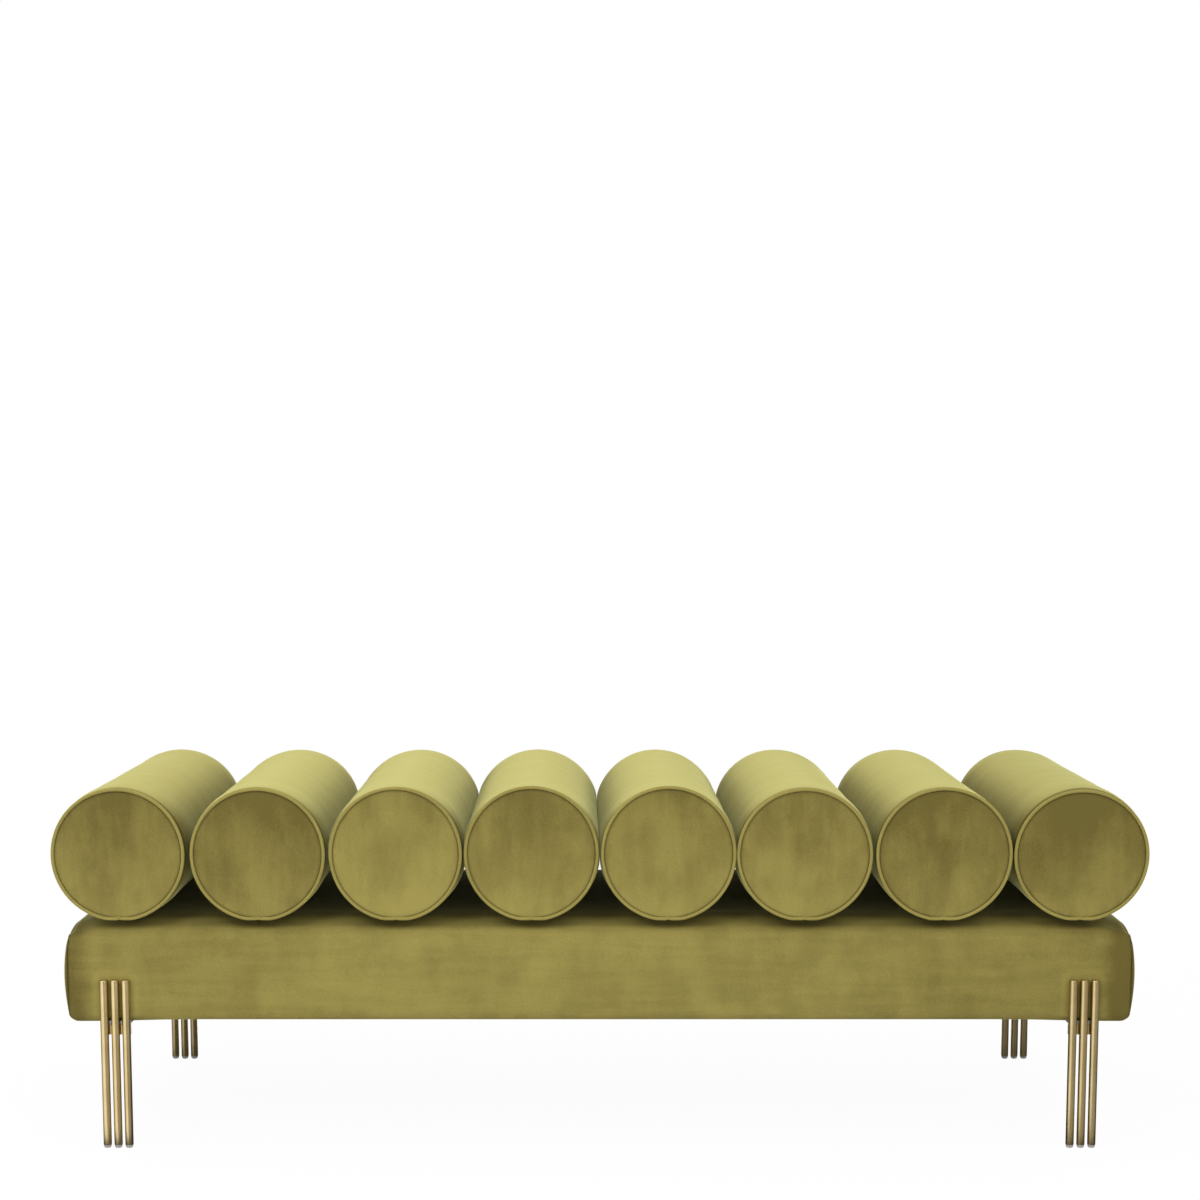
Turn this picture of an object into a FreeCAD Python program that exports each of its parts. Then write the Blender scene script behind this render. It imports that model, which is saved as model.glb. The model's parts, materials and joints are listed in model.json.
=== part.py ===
import FreeCAD, Part
import math
import os
import Sketcher

# A backless divan: an upholstered box base on four brass legs, with eight bolster rolls on top.
# X runs along the length, Y from the front to the back and Z up. The origin is on the floor,
# under the middle of the divan. All sizes are in millimetres.

ROLL_COUNT = 8

SIZES = {
    # rolls
    "roll_pitch": 200,
    "roll_radius": 98.5,
    "roll_barrel": 215,
    "roll_seam_y": 266,
    "roll_seam_radius": 92,
    "roll_crown": 4.5,
    "roll_flat": 98,
    "roll_cloth": 1.5,
    "welt_radius": 2.45,
    "welt_ring": 94,
    "welt_y": 268.5,
    "slat_width": 60,
    "slat_length": 470,
    "slat_thick": 16,
    "slat_drop": 92,
    # upholstered base
    "base_half_length": 789,
    "base_half_depth": 264.6,
    "base_bottom": 190,
    "base_edge_z": 329,
    "base_top": 338,
    "base_flat_x": 715,
    "base_flat_y": 190,
    "base_top_round": 20,
    "base_bottom_round": 12,
    "base_corner_round": 12,
    "base_end_bulge": 6,
    "base_side_bulge": 2.5,
    "base_cloth": 2,
    "end_seam_x": 779,
    "window_half_x": 745,
    "window_half_y": 227,
    "dust_half_x": 755,
    "dust_half_y": 235,
    "dust_thick": 0.8,
    # timber frame
    "frame_half_x": 768,
    "frame_half_y": 250,
    "rail_thick": 25,
    "rail_height": 100,
    "deck_thick": 12,
    "cross_rail_thick": 22,
    "cross_rail_height": 80,
    "cross_rail_x": 400,
    "block_x": 75,
    "block_y": 60,
    "block_height": 80,
    # legs
    "leg_x": 709,
    "leg_y": 271,
    "rod_radius": 6,
    "rod_pitch": 16,
    "rod_top": 251,
    "rod_chamfer": 0.8,
    "bar_half": 21,
    "bar_thick": 4,
    "bar_bottom": 168.4,
    "bar_groove": 1,
    "plate_half": 20,
    "plate_depth": 85,
    "plate_bottom": 183.4,
    "glide_radius": 5.6,
    "glide_foot": 3.6,
    "glide_height": 4.5,
    "stem_radius": 3,
    "stem_length": 10,
    # screws and staples
    "roll_screw_y": 150,
    "roll_screw_radius": 3,
    "roll_screw_end": 356,
    "screw_hole_radius": 3.3,
    "roll_head_radius": 6,
    "roll_head_height": 3.5,
    "leg_screw_x": 12,
    "leg_screw_near": 33,
    "leg_screw_far": 76,
    "leg_screw_radius": 2.5,
    "leg_screw_end": 222,
    "plate_hole_radius": 2.8,
    "leg_head_radius": 4.5,
    "leg_head_height": 2.5,
    "staple_length": 11,
    "staple_width": 1.2,
    "staple_height": 0.7,
    "staple_pitch": 60,
    "staple_inset": 8,
}

STAPLES_LONG = 21
STAPLES_SHORT = 5


class Size:
    """A number together with the spreadsheet expression that gives it."""

    def __init__(self, value, text):
        self.value = value
        self.text = text

    def __add__(self, other):
        other = as_size(other)
        return Size(self.value + other.value, f"({self.text} + {other.text})")

    def __sub__(self, other):
        other = as_size(other)
        return Size(self.value - other.value, f"({self.text} - {other.text})")

    def __mul__(self, other):
        other = as_size(other)
        return Size(self.value * other.value, f"({self.text} * {other.text})")

    def __truediv__(self, other):
        other = as_size(other)
        return Size(self.value / other.value, f"({self.text} / {other.text})")

    def __neg__(self):
        return Size(-self.value, f"(0 - {self.text})")


def as_size(number):
    if isinstance(number, Size):
        return number
    return Size(float(number), f"({float(number)})")


def write_sheet(doc):
    """The driving dimensions, one alias to a row."""
    sheet = doc.addObject("Spreadsheet::Sheet", "Sizes")
    for row, (alias, value) in enumerate(SIZES.items(), start=1):
        sheet.set(f"A{row}", alias)
        sheet.set(f"B{row}", str(value))
        sheet.setAlias(f"B{row}", alias)
    doc.recompute()
    return sheet


doc = FreeCAD.newDocument("divan")
sheet = write_sheet(doc)
dim = {alias: Size(float(sheet.get(alias)), f"Sizes.{alias}") for alias in SIZES}
nodes = {}


def keep(name, item):
    """Names a finished sub-part."""
    item.Label = name
    nodes[name] = item
    return item


def place(item, x, y, z):
    for axis, size in zip("xyz", (x, y, z)):
        item.setExpression(f"Placement.Base.{axis}", as_size(size).text)


def box(name, low, high):
    """A box from its low corner to its high corner."""
    item = doc.addObject("Part::Box", name)
    spans = [as_size(b) - a for a, b in zip(low, high)]
    for side, span in zip(("Length", "Width", "Height"), spans):
        item.setExpression(side, span.text)
    place(item, *low)
    return item


def mirrored_box(name, half_x, half_y, bottom, top):
    """A box centred on the Z axis."""
    return box(name, (-half_x, -half_y, bottom), (half_x, half_y, top))


def rod(name, radius, x, y, bottom, top):
    """An upright cylinder."""
    item = doc.addObject("Part::Cylinder", name)
    item.setExpression("Radius", as_size(radius).text)
    item.setExpression("Height", (as_size(top) - bottom).text)
    place(item, x, y, bottom)
    return item


def cut(name, base, tool):
    item = doc.addObject("Part::Cut", name)
    item.Base = base
    item.Tool = tool
    return item


def common(name, base, tool):
    item = doc.addObject("Part::Common", name)
    item.Base = base
    item.Tool = tool
    return item


def join(name, items):
    item = doc.addObject("Part::MultiFuse", name)
    item.Shapes = items
    return item


def group(name, items):
    item = doc.addObject("Part::Compound", name)
    item.Links = items
    return item


def fix_point(sketch, edge, point, x, y):
    """Ties a point of a sketch edge to its place, a missing coordinate to the sketch axis."""
    if x is None:
        sketch.addConstraint(Sketcher.Constraint("PointOnObject", edge, point, -2))
    else:
        number = sketch.addConstraint(Sketcher.Constraint("DistanceX", -1, 1, edge, point, x.value))
        sketch.setExpression(f"Constraints[{number}]", x.text)
    if y is None:
        sketch.addConstraint(Sketcher.Constraint("PointOnObject", edge, point, -1))
    else:
        number = sketch.addConstraint(Sketcher.Constraint("DistanceY", -1, 1, edge, point, y.value))
        sketch.setExpression(f"Constraints[{number}]", y.text)


def flat_vector(point):
    x, y = point
    return FreeCAD.Vector(x.value if x else 0, y.value if y else 0, 0)


def outline(sketch, corners, centres):
    """A closed outline. centres maps the number of an edge to the centre of its arc, and to the
    coordinate of it, x or y, that is tied."""
    count = len(corners)
    ends = []
    for edge in range(count):
        start = flat_vector(corners[edge])
        end = flat_vector(corners[(edge + 1) % count])
        if edge not in centres:
            sketch.addGeometry(Part.LineSegment(start, end))
            ends.append((1, 2))
            continue
        centre = flat_vector(centres[edge][:2])
        first = math.atan2(start.y - centre.y, start.x - centre.x)
        last = math.atan2(end.y - centre.y, end.x - centre.x)
        turn = (last - first) % (2 * math.pi)
        forward = turn < math.pi
        if not forward:
            first = last
            turn = 2 * math.pi - turn
        circle = Part.Circle(centre, FreeCAD.Vector(0, 0, 1), start.distanceToPoint(centre))
        sketch.addGeometry(Part.ArcOfCircle(circle, first, first + turn))
        ends.append((1, 2) if forward else (2, 1))
    for edge in range(count):
        following = (edge + 1) % count
        sketch.addConstraint(
            Sketcher.Constraint("Coincident", edge, ends[edge][1], following, ends[following][0])
        )
        fix_point(sketch, edge, ends[edge][0], *corners[edge])
    for edge, (x, y, tied) in centres.items():
        along, size, axis = ("DistanceX", x, -2) if tied == "x" else ("DistanceY", y, -1)
        if size is None:
            sketch.addConstraint(Sketcher.Constraint("PointOnObject", edge, 3, axis))
            continue
        number = sketch.addConstraint(Sketcher.Constraint(along, -1, 1, edge, 3, size.value))
        sketch.setExpression(f"Constraints[{number}]", size.text)


def circles(sketch, places, radius):
    """One circle of the same radius at each place."""
    for edge, (x, y) in enumerate(places):
        centre = flat_vector((x, y))
        sketch.addGeometry(Part.Circle(centre, FreeCAD.Vector(0, 0, 1), radius.value))
        number = sketch.addConstraint(Sketcher.Constraint("Radius", edge, radius.value))
        sketch.setExpression(f"Constraints[{number}]", radius.text)
        fix_point(sketch, edge, 3, x, y)


def new_body(name):
    return doc.addObject("PartDesign::Body", name)


def body_sketch(body, plane, lift=None):
    """A sketch on one of the body's own planes, lifted off it where lift says."""
    sketch = body.newObject("Sketcher::SketchObject", f"{body.Name}_sketch")
    support = next(item for item in body.Origin.OriginFeatures if item.Role == plane)
    sketch.AttachmentSupport = [(support, "")]
    sketch.MapMode = "FlatFace"
    if lift is not None:
        sketch.setExpression("AttachmentOffset.Base.z", lift.text)
    return sketch


def pad(body, sketch, length, backward=False):
    item = body.newObject("PartDesign::Pad", f"{body.Name}_pad")
    item.Profile = sketch
    item.setExpression("Length", length.text)
    item.Reversed = backward
    return item


def pocket(body, sketch, length, upward=False):
    """A pocket that must take material away. It goes down from its sketch, or up."""
    doc.recompute()
    before = body.Shape.Volume
    item = body.newObject("PartDesign::Pocket", f"{body.Name}_pocket")
    item.Profile = sketch
    item.setExpression("Length", length.text)
    item.Reversed = upward
    doc.recompute()
    if not body.Shape.Volume < before - 1:
        raise ValueError(f"the pocket {item.Name} cuts nothing")
    return item


def revolve(body, sketch, axis):
    item = body.newObject("PartDesign::Revolution", f"{body.Name}_turned")
    item.Profile = sketch
    item.ReferenceAxis = (sketch, [axis])
    item.Angle = 360
    return item


# Upholstered base


def cushion_section(name, half, bulge, flat, inset):
    """The section of the base: bulged sides, rounded edges and a crowned top with a flat middle.
    inset shrinks it to the inner side of the cloth."""
    sketch = doc.addObject("Sketcher::SketchObject", name)
    bottom = dim["base_bottom"] + inset
    edge = dim["base_edge_z"] - inset
    top = dim["base_top"] - inset
    low_round = dim["base_bottom_round"] - inset
    top_round = dim["base_top_round"] - inset
    side = half - inset - bulge
    face = (edge - top_round) - (bottom + low_round)
    face_radius = (face * face / 4 + bulge * bulge) / (bulge * 2)
    run = side - top_round - flat
    rise = top - edge
    crown_radius = (run * run + rise * rise) / (rise * 2)
    face_middle = bottom + low_round + face / 2

    right = [
        (side - low_round, bottom),
        (side, bottom + low_round),
        (side, edge - top_round),
        (side - top_round, edge),
        (flat, top),
    ]
    left = [(-x, y) for x, y in reversed(right)]
    right_centres = [
        (side - low_round, bottom + low_round, "x"),
        (side + bulge - face_radius, face_middle, "x"),
        (side - top_round, edge - top_round, "x"),
        (flat, top - crown_radius, "x"),
    ]
    centres = dict(enumerate(right_centres))
    for step, (x, y, tied) in enumerate(reversed(right_centres)):
        centres[len(right) + step] = (-x, y, tied)
    outline(sketch, right + left, centres)
    return sketch


def rounded_plan(name, half_x, half_y, radius):
    sketch = doc.addObject("Sketcher::SketchObject", name)
    corners = [
        (half_x, radius - half_y),
        (half_x, half_y - radius),
        (half_x - radius, half_y),
        (radius - half_x, half_y),
        (-half_x, half_y - radius),
        (-half_x, radius - half_y),
        (radius - half_x, -half_y),
        (half_x - radius, -half_y),
    ]
    centres = {
        1: (half_x - radius, half_y - radius, "x"),
        3: (radius - half_x, half_y - radius, "x"),
        5: (radius - half_x, radius - half_y, "x"),
        7: (half_x - radius, radius - half_y, "x"),
    }
    outline(sketch, corners, centres)
    return sketch


def drawn_out(name, sketch, direction, length):
    """A sketch extruded to both sides of its own plane."""
    item = doc.addObject("Part::Extrusion", name)
    item.Base = sketch
    item.DirMode = "Custom"
    item.Dir = direction
    item.setExpression("LengthFwd", length.text)
    item.Solid = True
    item.Symmetric = True
    return item


def base_form(name, inset):
    """The whole upholstered box, where its long section, its cross section and its plan meet."""
    half_x = dim["base_half_length"]
    half_y = dim["base_half_depth"]
    along = cushion_section(
        f"{name}_along", half_x, dim["base_end_bulge"], dim["base_flat_x"], inset
    )
    along.Placement.Rotation = FreeCAD.Rotation(FreeCAD.Vector(1, 0, 0), 90)
    across = cushion_section(
        f"{name}_across", half_y, dim["base_side_bulge"], dim["base_flat_y"], inset
    )
    across.Placement.Rotation = FreeCAD.Rotation(FreeCAD.Vector(1, 1, 1), 120)
    plan = rounded_plan(
        f"{name}_plan", half_x - inset, half_y - inset, dim["base_corner_round"] - inset
    )
    long_bar = drawn_out(f"{name}_long", along, FreeCAD.Vector(0, -1, 0), half_y * 4)
    cross_bar = drawn_out(f"{name}_cross", across, FreeCAD.Vector(1, 0, 0), half_x * 4)
    column = drawn_out(f"{name}_column", plan, FreeCAD.Vector(0, 0, 1), dim["base_top"] * 4)
    return common(name, common(f"{name}_bars", long_bar, cross_bar), column)


def roll_places():
    """The X place of each roll's axis."""
    middle = (ROLL_COUNT - 1) / 2
    return [dim["roll_pitch"] * (number - middle) for number in range(ROLL_COUNT)]


def at_roll_screws(name, radius, bottom, top):
    """One upright cylinder for each of the screws that hold the rolls, two to a roll."""
    rods = []
    for x in roll_places():
        for y in (-dim["roll_screw_y"], dim["roll_screw_y"]):
            rods.append(rod(f"{name}_{len(rods) + 1}", radius, x, y, bottom, top))
    return rods


def at_leg_screws(name, radius, bottom, top):
    """One upright cylinder for each of the screws that hold the leg plates, four to a leg."""
    rods = []
    for x_side in (-1, 1):
        for y_side in (-1, 1):
            for x_step in (-1, 1):
                for reach in (dim["leg_screw_near"], dim["leg_screw_far"]):
                    x = dim["leg_x"] * x_side + dim["leg_screw_x"] * x_step
                    y = (dim["leg_y"] - reach) * y_side
                    rods.append(rod(f"{name}_{len(rods) + 1}", radius, x, y, bottom, top))
    return rods


frame_bottom = dim["base_bottom"] + dim["base_cloth"]
rail_top = frame_bottom + dim["rail_height"]
deck_top = rail_top + dim["deck_thick"]

roll_screw_way = group(
    "roll_screw_way",
    at_roll_screws("way", dim["screw_hole_radius"], rail_top - 1, dim["base_top"] + 1),
)
leg_screw_way = group(
    "leg_screw_way",
    at_leg_screws("leg_way", dim["leg_screw_radius"], dim["plate_bottom"], dim["leg_screw_end"]),
)
leg_cloth_way = group(
    "leg_cloth_way",
    at_leg_screws("leg_cloth", dim["plate_hole_radius"], dim["plate_bottom"], frame_bottom),
)


def make_frame():
    """Rails, cross rails, corner blocks and the plywood deck."""
    half_x = dim["frame_half_x"]
    half_y = dim["frame_half_y"]
    thick = dim["rail_thick"]
    for name, side in (("front", -1), ("back", 1)):
        low_y = -half_y if side < 0 else half_y - thick
        plain = box(
            f"rail_{name}", (-half_x, low_y, frame_bottom), (half_x, low_y + thick, rail_top)
        )
        keep(f"frame_rail_{name}", cut(f"drilled_rail_{name}", plain, leg_screw_way))
    for name, side in (("left", -1), ("right", 1)):
        low_x = -half_x if side < 0 else half_x - thick
        low = (low_x, thick - half_y, frame_bottom)
        high = (low_x + thick, half_y - thick, rail_top)
        keep(f"frame_rail_{name}", box(f"rail_{name}", low, high))
    cross_bottom = rail_top - dim["cross_rail_height"]
    for name, step in (("left", -1), ("middle", 0), ("right", 1)):
        low_x = dim["cross_rail_x"] * step - dim["cross_rail_thick"] / 2
        low = (low_x, thick - half_y, cross_bottom)
        high = (low_x + dim["cross_rail_thick"], half_y - thick, rail_top)
        keep(f"cross_rail_{name}", box(f"cross_{name}", low, high))
    blocks = []
    for x_side in (-1, 1):
        for y_side in (-1, 1):
            inner_x = half_x - thick
            inner_y = half_y - thick
            low_x = -inner_x if x_side < 0 else inner_x - dim["block_x"]
            low_y = -inner_y if y_side < 0 else inner_y - dim["block_y"]
            low = (low_x, low_y, frame_bottom)
            high = (
                low_x + dim["block_x"],
                low_y + dim["block_y"],
                frame_bottom + dim["block_height"],
            )
            blocks.append(box(f"block_{len(blocks) + 1}", low, high))
    keep("corner_blocks", cut("drilled_blocks", group("plain_blocks", blocks), leg_screw_way))
    plain_deck = mirrored_box("plain_deck", half_x, half_y, rail_top, deck_top)
    keep("seat_deck", cut("drilled_deck", plain_deck, roll_screw_way))


def make_upholstery():
    """Foam wrap, velvet panels, dust cover and staples."""
    outer = base_form("outer_form", Size(0.0, "(0)"))
    inner = base_form("inner_form", dim["base_cloth"])
    frame_room = mirrored_box(
        "frame_room", dim["frame_half_x"], dim["frame_half_y"], dim["base_bottom"], deck_top
    )
    wrap = cut("foam_wrap", inner, frame_room)
    keep("base_foam", cut("drilled_foam", wrap, roll_screw_way))

    shell = cut("cloth_shell", outer, inner)
    window = mirrored_box(
        "window",
        dim["window_half_x"],
        dim["window_half_y"],
        dim["base_bottom"] - 1,
        frame_bottom + 1,
    )
    open_shell = cut("open_shell", shell, window)
    ways = group("all_ways", [roll_screw_way, leg_cloth_way])
    drilled = cut("drilled_shell", open_shell, ways)
    half_y = dim["base_half_depth"] + 1
    bottom = dim["base_bottom"] - 1
    top = dim["base_top"] + 1
    seam = dim["end_seam_x"]
    end = dim["base_half_length"] + 1
    middle_room = mirrored_box("middle_room", seam, half_y, bottom, top)
    keep("base_cover", common("middle_panel", drilled, middle_room))
    left_room = box("left_room", (-end, -half_y, bottom), (-seam, half_y, top))
    keep("end_panel_left", common("left_panel", drilled, left_room))
    right_room = box("right_room", (seam, -half_y, bottom), (end, half_y, top))
    keep("end_panel_right", common("right_panel", drilled, right_room))

    dust_low = dim["base_bottom"] - dim["dust_thick"]
    plain_dust = mirrored_box(
        "plain_dust", dim["dust_half_x"], dim["dust_half_y"], dust_low, dim["base_bottom"]
    )
    keep("dust_cover", cut("drilled_dust", plain_dust, leg_cloth_way))
    keep("cover_staples", group("staples", staple_row(dust_low)))


def staple_row(top):
    """Staple crowns under the edge of the dust cover, clear of the leg plates."""
    half_length = dim["staple_length"] / 2
    half_width = dim["staple_width"] / 2
    bottom = top - dim["staple_height"]
    spots = []
    for number in range(STAPLES_LONG):
        x = dim["staple_pitch"] * (number - (STAPLES_LONG - 1) / 2)
        for side in (-1, 1):
            spots.append((x, (dim["dust_half_y"] - dim["staple_inset"]) * side, True))
    for number in range(STAPLES_SHORT):
        y = dim["staple_pitch"] * (number - (STAPLES_SHORT - 1) / 2)
        for side in (-1, 1):
            spots.append(((dim["dust_half_x"] - dim["staple_inset"]) * side, y, False))
    staples = []
    for x, y, lengthwise in spots:
        reach_x, reach_y = (half_length, half_width) if lengthwise else (half_width, half_length)
        low = (x - reach_x, y - reach_y, bottom)
        high = (x + reach_x, y + reach_y, top)
        staples.append(box(f"staple_{len(staples) + 1}", low, high))
    return staples


# Rolls


def roll_side(inset):
    """Half of a roll's outline, from the middle of one end disc to the barrel: its corners, and
    the centres of the crowned disc and of the drawn-in shoulder."""
    crown = dim["roll_crown"]
    seam_y = dim["roll_seam_y"] - inset
    seam_radius = dim["roll_seam_radius"] - inset
    radius = dim["roll_radius"] - inset
    run = seam_y - dim["roll_barrel"]
    fall = radius - seam_radius
    crown_radius = (seam_radius * seam_radius + crown * crown) / (crown * 2)
    shoulder_radius = (run * run + fall * fall) / (fall * 2)
    corners = [
        (seam_y + crown, None),
        (seam_y, seam_radius),
        (dim["roll_barrel"], radius),
    ]
    centres = [
        (seam_y + crown - crown_radius, None, "y"),
        (dim["roll_barrel"], radius - shoulder_radius, "x"),
    ]
    return corners, centres


def other_side(points):
    return [(-point[0], *point[1:]) for point in reversed(points)]


def roll_core_outline(sketch):
    """The solid foam core, closed along the roll's axis."""
    corners, centres = roll_side(dim["roll_cloth"])
    arcs = dict(enumerate(centres))
    for step, centre in enumerate(other_side(centres)):
        arcs[len(corners) + step] = centre
    outline(sketch, corners + other_side(corners), arcs)


def roll_cloth_outline(sketch):
    """The velvet skin: its outer side, then its inner side back again."""
    outer, outer_centres = roll_side(Size(0.0, "(0)"))
    inner, inner_centres = roll_side(dim["roll_cloth"])
    corners = outer + other_side(outer) + inner_first(inner)
    arcs = {}
    for start, centres in (
        (0, outer_centres),
        (3, other_side(outer_centres)),
        (6, [(-x, *rest) for x, *rest in inner_centres]),
        (9, list(reversed(inner_centres))),
    ):
        for step, centre in enumerate(centres):
            arcs[start + step] = tuple(centre)
    outline(sketch, corners, arcs)


def inner_first(inner):
    """The inner outline, walked from the far end disc to the near one."""
    far = [(-x, y) for x, y in inner]
    return far + list(reversed(inner))


def screw_spots():
    return [(None, -dim["roll_screw_y"]), (None, dim["roll_screw_y"])]


def make_roll(number, x):
    """One bolster: its velvet cover, its foam core and the two welts round its end discs."""
    cover = new_body(f"roll_cover_{number}")
    profile = body_sketch(cover, "YZ_Plane")
    roll_cloth_outline(profile)
    revolve(cover, profile, "H_Axis")
    foot = body_sketch(cover, "XY_Plane", -dim["roll_flat"])
    reach = dim["roll_radius"]
    foot_corners = [
        (-reach, -dim["roll_seam_y"]),
        (reach, -dim["roll_seam_y"]),
        (reach, dim["roll_seam_y"]),
        (-reach, dim["roll_seam_y"]),
    ]
    outline(foot, foot_corners, {})
    pocket(cover, foot, dim["roll_radius"] - dim["roll_flat"] + 1)
    holes = body_sketch(cover, "XY_Plane", -dim["slat_drop"])
    circles(holes, screw_spots(), dim["screw_hole_radius"])
    pocket(cover, holes, dim["roll_radius"] - dim["slat_drop"] + 1)

    foam = new_body(f"roll_foam_{number}")
    core = body_sketch(foam, "YZ_Plane")
    roll_core_outline(core)
    revolve(foam, core, "H_Axis")
    slot = body_sketch(foam, "XY_Plane", dim["slat_thick"] - dim["slat_drop"])
    half_x = dim["slat_width"] / 2
    half_y = dim["slat_length"] / 2
    slot_corners = [(-half_x, -half_y), (half_x, -half_y), (half_x, half_y), (-half_x, half_y)]
    outline(slot, slot_corners, {})
    pocket(foam, slot, dim["slat_thick"])
    bores = body_sketch(foam, "XY_Plane", -dim["slat_drop"])
    circles(bores, screw_spots(), dim["screw_hole_radius"])
    pocket(foam, bores, dim["roll_radius"] - dim["slat_drop"])

    for body in (cover, foam):
        place(body, x, 0, dim["roll_flat"] + dim["base_top"])
        keep(body.Name, body)

    welts = []
    for side in (-1, 1):
        welt = doc.addObject("Part::Torus", f"welt_{number}_{'front' if side < 0 else 'back'}")
        welt.setExpression("Radius1", dim["welt_ring"].text)
        welt.setExpression("Radius2", dim["welt_radius"].text)
        welt.Placement.Rotation = FreeCAD.Rotation(FreeCAD.Vector(1, 0, 0), 90)
        place(welt, x, dim["welt_y"] * side, dim["roll_flat"] + dim["base_top"])
        welts.append(welt)
    keep(f"roll_welts_{number}", group(f"welts_{number}", welts))


def make_roll_fixings():
    """The slats in the cores and the screws that come up through the deck."""
    slat_bottom = dim["roll_flat"] + dim["base_top"] - dim["slat_drop"]
    slats = []
    half_y = dim["slat_length"] / 2
    for number, x in enumerate(roll_places(), start=1):
        low = (x - dim["slat_width"] / 2, -half_y, slat_bottom)
        high = (x + dim["slat_width"] / 2, half_y, slat_bottom + dim["slat_thick"])
        slats.append(box(f"slat_{number}", low, high))
    screw_end = dim["roll_screw_end"]
    threads = at_roll_screws("thread", dim["roll_screw_radius"], rail_top, screw_end)
    plain_slats = group("plain_slats", slats)
    keep("roll_slats", cut("drilled_slats", plain_slats, group("threads", threads)))
    head_bottom = rail_top - dim["roll_head_height"]
    heads = at_roll_screws("head", dim["roll_head_radius"], head_bottom, rail_top)
    keep("roll_screws", join("roll_screw_set", threads + heads))


# Legs


def rod_spots():
    return [(-dim["rod_pitch"], None), (None, None), (dim["rod_pitch"], None)]


def make_rods(name):
    """Three round rods with chamfered tops, bored below for the glides."""
    body = new_body(name)
    section = body_sketch(body, "XY_Plane", dim["glide_height"])
    circles(section, rod_spots(), dim["rod_radius"])
    pad(body, section, dim["rod_top"] - dim["glide_height"])
    bores = body_sketch(body, "XY_Plane", dim["glide_height"])
    circles(bores, rod_spots(), dim["stem_radius"])
    drilled = pocket(body, bores, dim["stem_length"], upward=True)
    rims = []
    for number, edge in enumerate(drilled.Shape.Edges, start=1):
        ring = isinstance(edge.Curve, Part.Circle)
        if ring and abs(edge.CenterOfMass.z - dim["rod_top"].value) < 0.01:
            rims.append(f"Edge{number}")
    chamfer = body.newObject("PartDesign::Chamfer", f"{name}_chamfer")
    chamfer.Base = (drilled, rims)
    chamfer.setExpression("Size", dim["rod_chamfer"].text)
    return body


def make_cross_bar(name):
    """A flat bar behind the rods. Its top front edge is bevelled for the weld to the plate."""
    body = new_body(name)
    section = body_sketch(body, "XY_Plane", dim["bar_bottom"])
    half = dim["bar_half"]
    near = dim["rod_radius"]
    far = near + dim["bar_thick"]
    outline(section, [(-half, near), (half, near), (half, far), (-half, far)], {})
    bar = pad(body, section, dim["plate_bottom"] - dim["bar_bottom"])
    doc.recompute()
    groove = body.newObject("PartDesign::Chamfer", f"{name}_groove")
    groove.Base = (bar, [top_front_edge(bar.Shape)])
    groove.setExpression("Size", dim["bar_groove"].text)
    return body


def top_front_edge(shape):
    """The name of the edge that lies highest, and of those the one nearest to the front."""
    middles = [edge.CenterOfMass for edge in shape.Edges]
    first = max(range(len(middles)), key=lambda i: (round(middles[i].z, 3), -middles[i].y))
    return f"Edge{first + 1}"


def make_plate(name):
    """The mounting plate, with four screw holes."""
    body = new_body(name)
    face = body_sketch(body, "XZ_Plane", -dim["rod_radius"])
    top = dim["base_bottom"] - dim["dust_thick"]
    bottom = dim["plate_bottom"]
    half = dim["plate_half"]
    outline(face, [(-half, bottom), (half, bottom), (half, top), (-half, top)], {})
    pad(body, face, dim["plate_depth"], backward=True)
    holes = body_sketch(body, "XY_Plane", top)
    spots = []
    for side in (-1, 1):
        for reach in (dim["leg_screw_near"], dim["leg_screw_far"]):
            spots.append((dim["leg_screw_x"] * side, reach))
    circles(holes, spots, dim["plate_hole_radius"])
    pocket(body, holes, top - bottom)
    return body


def make_glides(name):
    """Three glides with rounded feet, and stems that fill the bores of the rods."""
    body = new_body(name)
    half = body_sketch(body, "XZ_Plane")
    middle = -dim["rod_pitch"]
    foot = middle + dim["glide_foot"]
    wide = middle + dim["glide_radius"]
    rounding = dim["glide_radius"] - dim["glide_foot"]
    stem = middle + dim["stem_radius"]
    stem_top = dim["glide_height"] + dim["stem_length"]
    corners = [
        (middle, None),
        (foot, None),
        (wide, rounding),
        (wide, dim["glide_height"]),
        (stem, dim["glide_height"]),
        (stem, stem_top),
        (middle, stem_top),
    ]
    outline(half, corners, {1: (foot, rounding, "x")})
    turned = body.newObject("PartDesign::Revolution", f"{name}_turned")
    turned.Profile = half
    turned.ReferenceAxis = (half, ["Edge7"])
    turned.Angle = 360
    row = body.newObject("PartDesign::LinearPattern", f"{name}_row")
    row.Originals = [turned]
    row.Direction = (half, ["H_Axis"])
    row.setExpression("Length", (dim["rod_pitch"] * 2).text)
    row.Occurrences = 3
    body.Tip = row
    return body


def make_leg(place_name, x_side, y_side):
    """One leg. Its own X and Y are the rods' row and the way in under the base."""
    turn = 0 if y_side < 0 else 180
    for part_name, make in (
        ("leg_rods", make_rods),
        ("leg_bar", make_cross_bar),
        ("leg_plate", make_plate),
        ("leg_glides", make_glides),
    ):
        body = make(f"{part_name}_{place_name}")
        body.Placement.Rotation = FreeCAD.Rotation(FreeCAD.Vector(0, 0, 1), turn)
        place(body, dim["leg_x"] * x_side, dim["leg_y"] * y_side, 0)
        keep(body.Name, body)


def make_leg_screws():
    bottom = dim["plate_bottom"]
    shanks = at_leg_screws("shank", dim["leg_screw_radius"], bottom, dim["leg_screw_end"])
    heads = at_leg_screws(
        "leg_head", dim["leg_head_radius"], bottom - dim["leg_head_height"], bottom
    )
    keep("leg_screws", join("leg_screw_set", shanks + heads))


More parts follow.
